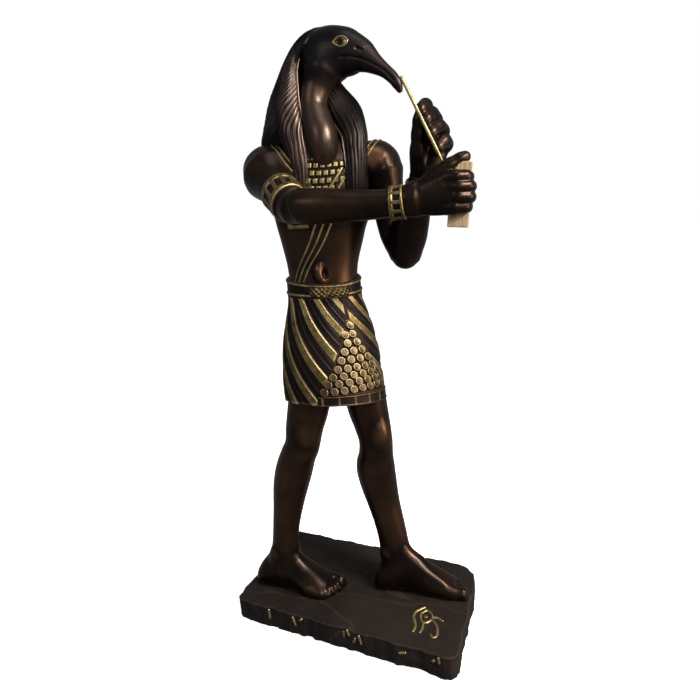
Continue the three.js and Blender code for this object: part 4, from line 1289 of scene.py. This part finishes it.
def pleat_at(start, down):
    """Where a pleat that leaves the kilt's top at a turn has got to, at a share of the way down."""
    goal = fanned(start) + PLEAT_TWIST * down
    turn = start
    for _ in range(12):
        turn = turn + (goal - fanned(turn)) / (1 - PLEAT_FAN - PLEAT_FAN * np.cos(turn - PLEAT_FAN_TURN))
    return turn


def apron_share(turn, height):
    """How far across the apron a point is: 1 at its edges, more outside it, and large above it."""
    up = (height - APRON_LOW) / (APRON_HIGH - APRON_LOW)
    half = APRON_HALF[0] + (APRON_HALF[1] - APRON_HALF[0]) * up
    return np.where(up < 1, np.abs(wrapped(turn - APRON_TURN)) / np.maximum(half, 0.02), 9)


def kilt_relief(phase, turn, height):
    """The pleats' height and gilding, for how far a point lies between one pleat and the next."""
    strip = bank(0, 0.03, 0.37, 0.4, phase)
    edge = bank(0.27, 0.33, 0.38, 0.4, phase)
    rise = ease(0.46, 0.97, phase)
    thread = bank(0.655, 0.675, 0.715, 0.735, phase)
    seam = ease(0.3, 0.9, np.abs(wrapped(turn - APRON_TURN)) * 17)
    clear = ease(0.99, 1.05, apron_share(turn, height)) * np.where(height > APRON_HIGH, seam, 1)
    proud = 0.75 * strip + 0.06 * edge + 0.25 * rise * (1 - strip) + 0.22 * thread - 0.1
    under_belt = ease(KILT_TOP - 0.5, KILT_TOP - 2.5, height)
    return proud * clear * under_belt, (0.85 * strip + 0.14 * thread) * clear


def kilt_body():
    columns = PLEATS * PLEAT_COLUMNS
    phase = np.arange(columns) % PLEAT_COLUMNS / PLEAT_COLUMNS
    gold = []

    def pleated(turn, height):
        turned = pleat_at(turn + PLEAT_TURN, (KILT_TOP - height) / (KILT_TOP - HEM))
        relief, gilding = kilt_relief(phase, turned, height)
        gold.extend(gilding.ravel())
        return turned, relief

    solid = loft(kilt, span(HEM, KILT_TOP, 0.62), columns, pleated)
    gold = np.array([*gold, 0, 0])
    upper = 0.6 * ease(148, 162, solid[0][:, 2])
    piece("kilt", solid, gold, DRESS_METAL, 4, 0.2, upper * (gold > 0.4))


def scale_solid(centre, across, up, out):
    """A round scale: a low dish with a raised rim, rooted under the surface and open there."""
    turn = turns(SCALE_COLUMNS)[:, None]
    ring = SCALE_RADIUS * (np.cos(turn) * across + np.sin(turn) * up)
    points = np.concatenate([centre + share * ring + out * height for share, height, _ in SCALE_RINGS])
    final = np.arange(len(points) - SCALE_COLUMNS, len(points))
    top = np.stack([final, np.roll(final, -1), np.full(SCALE_COLUMNS, len(points))], -1)
    quads = grid_quads(SCALE_COLUMNS, len(SCALE_RINGS), True)
    return np.concatenate([points, centre[None] + out * 0.38]), quads, top


def scales():
    """The rows of scales on the apron, each with its gilding and a painted highlight on one side of it."""
    painted_highlight = 0.6 + 0.4 * np.cos(turns(SCALE_COLUMNS) - SCALE_HIGHLIGHT_TURN)
    rings = np.outer([gilding for _, _, gilding in SCALE_RINGS], painted_highlight).ravel()
    for number, (level, first, final, count) in enumerate(SCALE_ROWS):
        for turn in np.linspace(first, final, count) * DEGREE:
            height = level
            for _ in range(5):
                height = level - hem_lift(turn, height)
            centre = kilt(turn, height, 0.5)
            across = unit(kilt(turn + 0.01, height) - kilt(turn - 0.01, height))
            upward = unit(kilt(turn, height + 0.1) - kilt(turn, height - 0.1))
            out = np.cross(across, upward)
            tipped = unit(upward - out * 0.27)
            # The scales are made dimmer row by row downwards and brighter at larger turns.
            shade = 1 - 0.045 * number + 0.3 * np.clip((turn / DEGREE - 22) / 32, -1, 1)
            scale = scale_solid(centre + out * 0.25, across, tipped, np.cross(across, tipped))
            yield scale, np.minimum(shade * np.append(rings, 0.4), 1)


def apron():
    def spot(u, v):
        half = APRON_HALF[0] + (APRON_HALF[1] - APRON_HALF[0]) * v
        return APRON_TURN + (2 * u - 1) * half, APRON_LOW + (APRON_HIGH - APRON_LOW) * v

    def hem_spot(u, v):
        return APRON_HEM[0] + (APRON_HEM[1] - APRON_HEM[0]) * u, HEM - 0.2 + (HEM_BAND + 0.2) * v

    def tick(u, v):
        place = (hem_spot(u, v)[0] - HEM_TICK_TURN) * HEM_TICKS / (2 * np.pi)
        return ease(0.08, 0.05, np.abs(place - np.round(place))) * bank(0.06, 0.12, 0.88, 0.94, v)

    def hem_relief(u, v):
        lip = ease(0.16, 0.08, v) + ease(0.84, 0.92, v)
        return 0.85 + 0.25 * lip + 0.18 * tick(u, v)

    base = slab(kilt, 60, 60, spot, lambda u, v: 0.45 + 0 * u, lambda u, v: 0 * u)
    hem = slab(kilt, 340, 24, hem_spot, hem_relief, lambda u, v: 0.85 * tick(u, v))
    solid, gold = together([base, hem, *scales()])
    piece("apron", solid, gold, DRESS_METAL, 4, 0.12)


BELT_LOW = 163.5
BELT_HIGH = 173.5
BELT_DIP = 4.1
BELT_DIP_TURN = 15 * DEGREE
LOW_EDGE_SHARE = 0.3
KNOT_TURN = 2 * DEGREE
KNOT_HALF = 37 * DEGREE
KNOT_LOW = 164.7
KNOT_RISE = 7.4


def belt_form(turn, height, out=0.0):
    """The belt's form: the torso's, dipping in front, its upper edge more than its lower one."""
    turn, height, out = np.broadcast_arrays(turn, height, out)
    spot = torso(turn, height, out)
    share = (height - BELT_LOW) / (BELT_HIGH - BELT_LOW)
    front = (0.5 + 0.5 * np.cos(turn - BELT_DIP_TURN)) ** 2
    spot[..., 2] -= BELT_DIP * front * (LOW_EDGE_SHARE + (1 - LOW_EDGE_SHARE) * share)
    return spot


def ring_band(form, low, high, columns, rows, relief):
    """A band round a form, closed on its inner side, and its gilding. relief gives its outer face and
    gilding for turns and shares."""
    share = np.concatenate([[0], np.linspace(0, 1, rows), [1]])
    turn, v = np.meshgrid(turns(columns), share)
    height, gold = relief(turn, v)
    height[[0, -1]] = -0.7
    gold[[0, -1]] = 0
    return shell(form(turn, low + (high - low) * v, height), True), gold.ravel()


def belt_relief(turn, v):
    """A plain band with a raised gilt line near each edge."""
    line = np.maximum(bank(0.77, 0.81, 0.89, 0.93, v), bank(0.17, 0.21, 0.29, 0.33, v))
    return 0.9 + 0.5 * bank(0, 0.05, 0.95, 1, v) + 0.5 * line, line * 0.95


def knot_relief(u, v):
    """Plaited cords that swell towards the middle."""
    swell = np.sin(np.pi * np.clip(u, 0.04, 0.96)) * np.sin(np.pi * np.clip(v, 0.06, 0.94)) ** 0.6
    lean = np.where(u < 0.42, 1, -1)
    braid = np.abs(np.sin(np.pi * (u * 9 + lean * v * 1.6)))
    twist = np.abs(np.sin(np.pi * (u * 9 - lean * v * 2.6 + 0.4)))
    return 1.5 + swell * (0.8 + 1.0 * braid + 0.5 * twist)


def belt():
    ring = ring_band(belt_form, BELT_LOW, BELT_HIGH, 320, 40, belt_relief)
    knot = slab(
        belt_form, 150, 60,
        lambda u, v: (KNOT_TURN + (2 * u - 1) * KNOT_HALF, KNOT_LOW + KNOT_RISE * v),
        knot_relief,
        lambda u, v: ease(1.8, 2.7, knot_relief(u, v)),
    )
    solid, gold = together([ring, knot])
    piece("belt", solid, gold, DRESS_METAL, 6, 0.12)


# Collar, sash, straps and bands

COLLAR_HALF = 50 * DEGREE
COLLAR_LOW = 211.5
COLLAR_TOP = 232
COLLAR_CURVE = 4
BEAD_ROWS = 6
BEADS = 14

# The sash's first line: its height and its turn in degrees.
SASH_ROWS = np.array([[171, -57], [185, -25], [197, -8.5], [213, 8], [222, 21]])
SASH_LINES = 3
SASH_SPACING = 9.5
SASH_HALF = 1.75
CHEST_BAND = (-46 * DEGREE, -17 * DEGREE)
CHEST_BAND_LOW = 195.6
CHEST_BAND_WIDTH = 3.2

# The shoulder straps' course, before it is laid on the shoulders.
STRAPS = [
    [[-11, -17, 221], [-16.5, -17.2, 226.8], [-24.8, -13.1, 233.7], [-27, -7, 235], [-26, -1, 232]],
    [[13, -6, 221], [16.5, 0.6, 228.2], [18.3, 9.7, 232.6], [16, 16, 231], [12, 18, 226]],
]


def collar():
    def spot(u, v):
        across = 2 * u - 1
        height = COLLAR_LOW + (COLLAR_TOP - COLLAR_LOW) * v + COLLAR_CURVE * across**2 * (1 - v)
        return across * COLLAR_HALF, height

    def bead(u, v):
        lane = (v * BEAD_ROWS) % 1
        column = (u * BEADS + 0.5 * (np.floor(v * BEAD_ROWS) % 2)) % 1
        return bank(0.06, 0.25, 0.72, 0.9, lane) * bank(0.08, 0.25, 0.75, 0.92, column)

    solid, gold = slab(torso, 210, 105, spot, lambda u, v: 0.5 + 0.8 * bead(u, v), bead)
    piece("collar", solid, 0.95 * gold, DRESS_METAL, 4, 0.12, 0.3)


def strip(spot, lift, up):
    """A raised strip on the torso, gilded along its crest. lift gives its height for shares up."""
    def crest(u, v):
        return bank(0.05, 0.25, 0.75, 0.95, u)

    return slab(torso, 13, up, spot, lambda u, v: lift(v) + 0.3 * crest(u, v) - 0.2, crest, 0.5)


def strap_lines(course, body_tree):
    """Two thin lines side by side, laid on the shoulder."""
    spots = course_through(course, 60)
    lines = []
    for aside in (-1.1, 1.1):
        placed = []
        for spot, ahead in zip(spots, np.gradient(spots, axis=0)):
            hit, normal, _, _ = body_tree.find_nearest(Vector(spot))
            beside = unit(np.cross(np.array(normal), ahead)) * aside
            hit, normal, _, _ = body_tree.find_nearest(hit + Vector(beside))
            placed.append(np.array(hit + normal * 0.1))
        lines.append(tube(placed, 0.42, 8))
    return lines


def sash(body_tree):
    """The sash's lines, the chest band and the shoulder straps."""
    parts = []
    for number in range(SASH_LINES):
        def spot(u, v, number=number):
            height = SASH_ROWS[0, 0] + (SASH_ROWS[-1, 0] - SASH_ROWS[0, 0]) * v
            turn = row_at(SASH_ROWS, height)[..., 1]
            return (turn + SASH_SPACING * number + (2 * u - 1) * SASH_HALF) * DEGREE, height

        parts.append(strip(spot, lambda v: 0.6 + 0.9 * ease(0.74, 0.83, v), 140))

    def band_spot(u, v):
        return CHEST_BAND[0] + (CHEST_BAND[1] - CHEST_BAND[0]) * v, CHEST_BAND_LOW + CHEST_BAND_WIDTH * u

    parts.append(strip(band_spot, lambda v: 0.6 + 0 * v, 80))
    for course in STRAPS:
        parts += [(line, np.full(len(line[0]), 0.3)) for line in strap_lines(course, body_tree)]
    solid, gold = together(parts)
    piece("sash", solid, gold, DRESS_METAL, 4, 0.12, 0.4)


# The height of the bands' rims and bars, of their edges, and how deep their windows are sunk.
BAND_HIGH = 1.2
BAND_LOW = 0.55
BAND_SINK = 0.2


def windowed(bars, rim):
    """A band with raised rims and cross bars, and dark windows between them."""
    def relief(turn, v):
        cell = (turn / (2 * np.pi) * bars) % 1
        edge = bank(0, 0.03, 0.97, 1, v)
        rims = np.maximum(ease(rim + 0.04, rim, v), ease(1 - rim - 0.04, 1 - rim, v))
        gilt = np.maximum(rims, np.maximum(ease(0.21, 0.16, cell), ease(0.79, 0.84, cell)))
        pane = ease(0.5, 0.35, np.abs(v - 0.5)) * ease(0.36, 0.25, np.abs(cell - 0.5))
        rise = (BAND_HIGH - BAND_LOW) * edge * (0.35 + 0.65 * gilt)
        return BAND_LOW + rise - BAND_SINK * (1 - gilt) + 0.1 * pane, 0.95 * gilt * edge

    return relief


def bands():
    solid, gold = together([
        ring_band(form, low, high, 280, 34, windowed(bars, rim)) for form, low, high, bars, rim in (
            (right_upper_arm, 1.85, 2.8, 12, 0.21),
            (right_forearm, 3.75, 4.33, 11, 0.22),
            (left_forearm, 3.2, 3.75, 9, 0.22),
        )
    ])
    piece("bands", solid, gold, DRESS_METAL, 4, 0.12)


# Plinth

PLINTH_LENGTH = 130.5
PLINTH_WIDTH = 74.0
PLINTH_SKEW = 5.2
PLINTH_CUT = 3.5
PLINTH_RIPPLE = 1.4
NOTCH = (10.0, 8.0)
ORNAMENT_LENGTH = 20.0
ORNAMENT_INSET = (22.8, 23.6)
ORNAMENT_TURN = 98 * DEGREE
PLINTH_SHIFT = -FIGURE_SPOT


def hewn(distance):
    """How far the rough side is set back at a distance along it."""
    return PLINTH_RIPPLE * (0.5 + 0.28 * np.sin(distance * 0.31) + 0.22 * np.sin(distance * 0.83 + 1.7))


def plinth_outline():
    """The plinth's outline, rippled, with one corner cut off and the others blunted."""
    near_x = (PLINTH_LENGTH - PLINTH_SKEW) / 2
    near, far = PLINTH_SKEW / 2, -PLINTH_SKEW / 2
    corners = np.array([
        [near - near_x, -PLINTH_WIDTH / 2],
        [near + near_x, -PLINTH_WIDTH / 2],
        [far + near_x, PLINTH_WIDTH / 2 - NOTCH[1]],
        [far + near_x - NOTCH[0], PLINTH_WIDTH / 2],
        [far - near_x, PLINTH_WIDTH / 2],
    ])
    points = []
    walked = 0
    for start, stop in zip(corners, np.roll(corners, -1, 0)):
        length = np.linalg.norm(stop - start)
        along = (stop - start) / length
        inward = np.array([-along[1], along[0]])
        cut = min(PLINTH_CUT, length / 4)
        for distance in span(cut, length - cut, 4):
            points.append(start + along * distance + inward * (hewn(walked + distance) + 0.15))
        walked += length
    return np.array(points)


def plinth():
    """Gives back the rough block as a tree, for what is laid on it."""
    outline = plinth_outline()
    rings = [np.insert(outline, 2, height, axis=1) for height in (0.3, PLINTH_TOP - 0.25)]
    low, high = [-67, -40, -2], [67, 40, 16]
    wax = Wax(low, high, 0.66, 3)
    wax.add(shell(np.array(rings)), FIRST)
    _, spots = wax.window(low, high)
    on_top = ease(2.2, 0.6, PLINTH_TOP - spots[..., 2])
    facets = np.abs(lattice_noise(spots * [1, 1, 0.7], 7, 3))
    chips = np.abs(lattice_noise(spots, 2.6, 5))
    dents = np.maximum(lattice_noise(spots, 11, 8), 0)
    grit = np.abs(lattice_noise(spots, 1.1, 9))
    rough = 0.495 * facets + 0.231 * chips
    smooth = 0.22 * dents + 0.1 * chips
    wax.field += (rough * (1 - on_top) + smooth * on_top + 0.1 * grit).astype(np.float32)
    wax.keep(Z_AXIS, 0, PLINTH_TOP)
    points, quads, triangles = wax.skin()
    # Painted shade: the plinth's sides are darker than its top.
    shade = -0.5 * ease(PLINTH_TOP - 0.5, PLINTH_TOP - 2, points[:, 2])
    solid = (points + PLINTH_SHIFT, quads, triangles)
    piece("plinth", solid, 0, STONE, 8, 0.22, shade, "plinth")
    return tree_of(solid)


# The eye ornament in its own plane, as shares of its length: brow, two lids, pupil, tear, tail and curl.
# Each is a line's points and its width in millimetres.
ORNAMENT = [
    ([[0.36, 0.07], [0.16, 0.27], [-0.03, 0.31], [-0.22, 0.25], [-0.41, 0.2], [-0.6, 0.22]], 1.0),
    ([[-0.03, 0.13], [0.12, 0.12], [0.25, 0], [0.16, -0.11], [0.02, -0.17]], 0.85),
    ([[-0.03, 0.13], [-0.17, 0.08], [-0.2, -0.04], [-0.09, -0.14], [0.02, -0.17]], 0.85),
    ([[-0.07, 0], [0.08, 0]], 2.4),
    ([[0.02, -0.17], [0.02, -0.3], [-0.07, -0.45]], 0.85),
    ([[-0.19, 0.03], [-0.4, 0.02], [-0.6, 0.05]], 0.85),
    ([[-0.05, -0.16], [-0.24, -0.3], [-0.45, -0.36], [-0.6, -0.36], [-0.67, -0.29], [-0.58, -0.2]], 0.85),
]

# The strokes: share of the plinth's length, lean, and the share of its height of the stroke and its middle.
MARKS = [
    [-0.293, 3, 0.42, 0.65],
    [-0.172, 16, 0.4, 0.68],
    [-0.14, -50, 0.18, 0.82],
    [0.048, 0, 0.27, 0.68],
    [0.068, 26, 0.26, 0.82],
    [0.096, -23, 0.27, 0.6],
    [0.12, 16, 0.38, 0.7],
    [0.29, -78, 0.3, 0.65],
    [0.408, -54, 0.15, 0.68],
    [0.428, 9, 0.26, 0.78],
]
MARK_WIDTH = 1.7
MARK_DEPTH = 0.55


def ornaments(stone_tree):
    """The gilded eye ornament on the top and the strokes on the long side, laid on the rough block."""
    def laid(spots, direction, thick):
        placed = []
        for spot, radius in zip(spots, thick):
            hit = stone_tree.ray_cast(Vector(spot + PLINTH_SHIFT - direction * 8), Vector(direction))[0]
            placed.append(np.array(hit) + direction * (radius - MARK_DEPTH))
        return tube(placed, thick, 12)

    solids = []
    cosine, sine = np.cos(ORNAMENT_TURN), np.sin(ORNAMENT_TURN)
    spin = ORNAMENT_LENGTH * np.array([[cosine, sine], [-sine, cosine]])
    centre = np.array([PLINTH_LENGTH / 2 - ORNAMENT_INSET[0], ORNAMENT_INSET[1] - PLINTH_WIDTH / 2])
    for line, width in ORNAMENT:
        flat = centre + course_through(line, 10 * len(line)) @ spin
        taper = 0.95 * width * (0.6 + 0.4 * np.sin(np.pi * np.linspace(0.06, 0.94, len(flat))))
        solids.append(laid(np.insert(flat, 2, PLINTH_TOP, axis=1), np.array([0, 0, -1.0]), taper))
    for share, lean, tall, level in MARKS:
        steps = np.linspace(-0.5, 0.5, 14) * tall * PLINTH_TOP
        x = share * PLINTH_LENGTH - np.sin(lean * DEGREE) * steps
        z = level * PLINTH_TOP + np.cos(lean * DEGREE) * steps
        spots = np.stack([x, np.full_like(x, -PLINTH_WIDTH / 2), z], -1)
        taper = MARK_WIDTH / 2 * (0.55 + 0.45 * np.sin(np.pi * np.linspace(0.1, 0.9, len(spots))))
        solids.append(laid(spots, np.array([0, 1.0, 0]), taper))
    piece("plinth_gilding", merged(solids), 1, DRESS_METAL, 2, 0.3, 0.4, "plinth")


# Stylus and tablet

def stylus():
    """A round rod, a little uneven, narrower at both ends."""
    share = np.array([0, 0.01, 0.02, *np.linspace(0.04, 0.9, 70), 0.94, 0.97, 1])
    radius = np.interp(share, [0, 0.02, 0.9, 1], [0.5, STYLUS_RADIUS, STYLUS_RADIUS, 0.34])
    uneven = 1 - 0.04 * np.abs(np.sin(share * 61)) - 0.03 * np.abs(np.sin(share * 23 + 1))
    spots = STYLUS_TOP + STYLUS_LINE * (share * STYLUS_LENGTH)[:, None]
    piece("stylus_rod", tube(spots, radius * uneven, 20), 0, BRASS, 4, 0.2, node="stylus")


def tablet():
    """A board with softened edges and shallow furrows along its grain."""
    half = TABLET_SIZE / 2
    wax = Wax(-half - 1.5, half + 1.5, 0.25, 1.6)
    slices, spots = wax.window(-half - 1.5, half + 1.5)
    along = spots * [1, 1, 0.09]
    grain = 0.13 * np.abs(lattice_noise(along, 0.8, 12)) + 0.1 * np.maximum(lattice_noise(along, 1.7, 14), 0)
    away = off_box(spots, half - TABLET_CORNER) - TABLET_CORNER
    wax.field[slices] = (away + grain + 0.02).astype(np.float32)
    points, quads, triangles = wax.skin()
    solid = (points @ tablet_axes().T + TABLET_SPOT, quads, triangles)
    piece("tablet_board", solid, 0, BOARD, 6, 0.08, node="tablet")


legs()
body_tree = torso_and_arms()
hands()
head_and_neck()
wig()
kilt_body()
apron()
belt()
collar()
sash(body_tree)
bands()
ornaments(plinth())
stylus()
tablet()


# Floor, backdrop, lights and camera

def stage_piece(name, mesh, grey, glow, shadow):
    """Adds a stage piece that the object neither mirrors nor is lit by."""
    paint = Paint(name)
    paint.surface(
        Base_Color=(grey, grey, grey), Roughness=0.9, Specular_IOR_Level=0,
        Emission_Color=(1.0, 1.0, 1.0), Emission_Strength=glow,
    )
    mesh.materials.append(paint.material)
    thing = bpy.data.objects.new(name, mesh)
    bpy.context.scene.collection.objects.link(thing)
    thing.visible_diffuse = False
    thing.visible_glossy = False
    thing.visible_transmission = False
    thing.visible_shadow = shadow


def floor(reach=5.0):
    mesh = bpy.data.meshes.new("floor")
    corners = [(-reach, -reach, 0), (reach, -reach, 0), (reach, reach, 0), (-reach, reach, 0)]
    mesh.from_pydata(corners, [], [(0, 1, 2, 3)])
    stage_piece("pale_floor", mesh, 0.8, 0.95, True)


def backdrop(radius=6.0):
    mesh = bpy.data.meshes.new("backdrop")
    ball = bmesh.new()
    bmesh.ops.create_uvsphere(ball, u_segments=48, v_segments=24, radius=radius)
    ball.to_mesh(mesh)
    ball.free()
    stage_piece("white_backdrop", mesh, 0, 1, False)


def toward(azimuth, elevation):
    """The direction from the figure to an azimuth, counted from the near side, and an elevation."""
    level = np.cos(elevation)
    return np.array([np.sin(azimuth) * level, -np.cos(azimuth) * level, np.sin(elevation)])


# Metres, at half the figure's height.
LAMP_AIM = np.array([0, 0, 0.15])

# Each lamp: name, azimuth and elevation in degrees, distance and size in metres, power and colour.
LAMPS = [
    ("key", 74, 36, 0.8, 0.26, 11, (1.0, 0.92, 0.82)),
    ("glow", 92, 6, 0.8, 0.35, 3, (1.0, 0.78, 0.58)),
    ("fill", -18, 32, 0.9, 0.35, 0.9, (1.0, 0.93, 0.86)),
    ("top", 60, 74, 0.9, 0.4, 1.2, (1.0, 0.97, 0.93)),
    ("glint", 46, 24, 0.9, 0.12, 1.4, (1.0, 0.84, 0.68)),
]


def lamp(name, azimuth, elevation, distance, size, power, colour):
    data = bpy.data.lights.new(name, "AREA")
    data.shape = "DISK"
    data.size = size
    data.energy = power
    data.color = colour
    made = bpy.data.objects.new(name, data)
    direction = toward(azimuth * DEGREE, elevation * DEGREE)
    made.location = LAMP_AIM + direction * distance
    made.rotation_euler = Vector(direction).to_track_quat("Z", "Y").to_euler()
    bpy.context.scene.collection.objects.link(made)


floor()
backdrop()
for row in LAMPS:
    lamp(*row)

world = bpy.data.worlds.new("studio")
world.use_nodes = True
background = world.node_tree.nodes["Background"]
background.inputs["Color"].default_value = (0.93, 0.95, 1.0, 1)
background.inputs["Strength"].default_value = 0.22
bpy.context.scene.world = world
bpy.context.scene.view_settings.view_transform = "Standard"

# The camera's place, in millimetres, and its lens, in pixels of the picture. The sensor's width only
# turns those pixels into the camera's own measure.
CAMERA_AZIMUTH = 26 * DEGREE
CAMERA_ELEVATION = 12.9 * DEGREE
CAMERA_ROLL = -3.7 * DEGREE
CAMERA_DISTANCE = 280.0
CAMERA_AIM = np.array([3.35, -1.04, 147.9])
FOCAL_PIXELS = 555.0
IMAGE_PIXELS = 700.0
SENSOR = 36.0

back = toward(CAMERA_AZIMUTH, CAMERA_ELEVATION)
level = np.array([np.cos(CAMERA_AZIMUTH), np.sin(CAMERA_AZIMUTH), 0])
upright = np.cross(back, level)
right = np.cos(CAMERA_ROLL) * level + np.sin(CAMERA_ROLL) * upright
up = -np.sin(CAMERA_ROLL) * level + np.cos(CAMERA_ROLL) * upright
data = bpy.data.cameras.new("camera")
data.sensor_width = SENSOR
data.lens = SENSOR * FOCAL_PIXELS / IMAGE_PIXELS
data.clip_start = 0.01
data.clip_end = 50
camera = bpy.data.objects.new("camera", data)
matrix = Matrix(np.array([right, up, back]).T.tolist()).to_4x4()
matrix.translation = Vector((CAMERA_AIM + back * CAMERA_DISTANCE) * MM)
camera.matrix_world = matrix
bpy.context.scene.collection.objects.link(camera)
bpy.context.scene.camera = camera
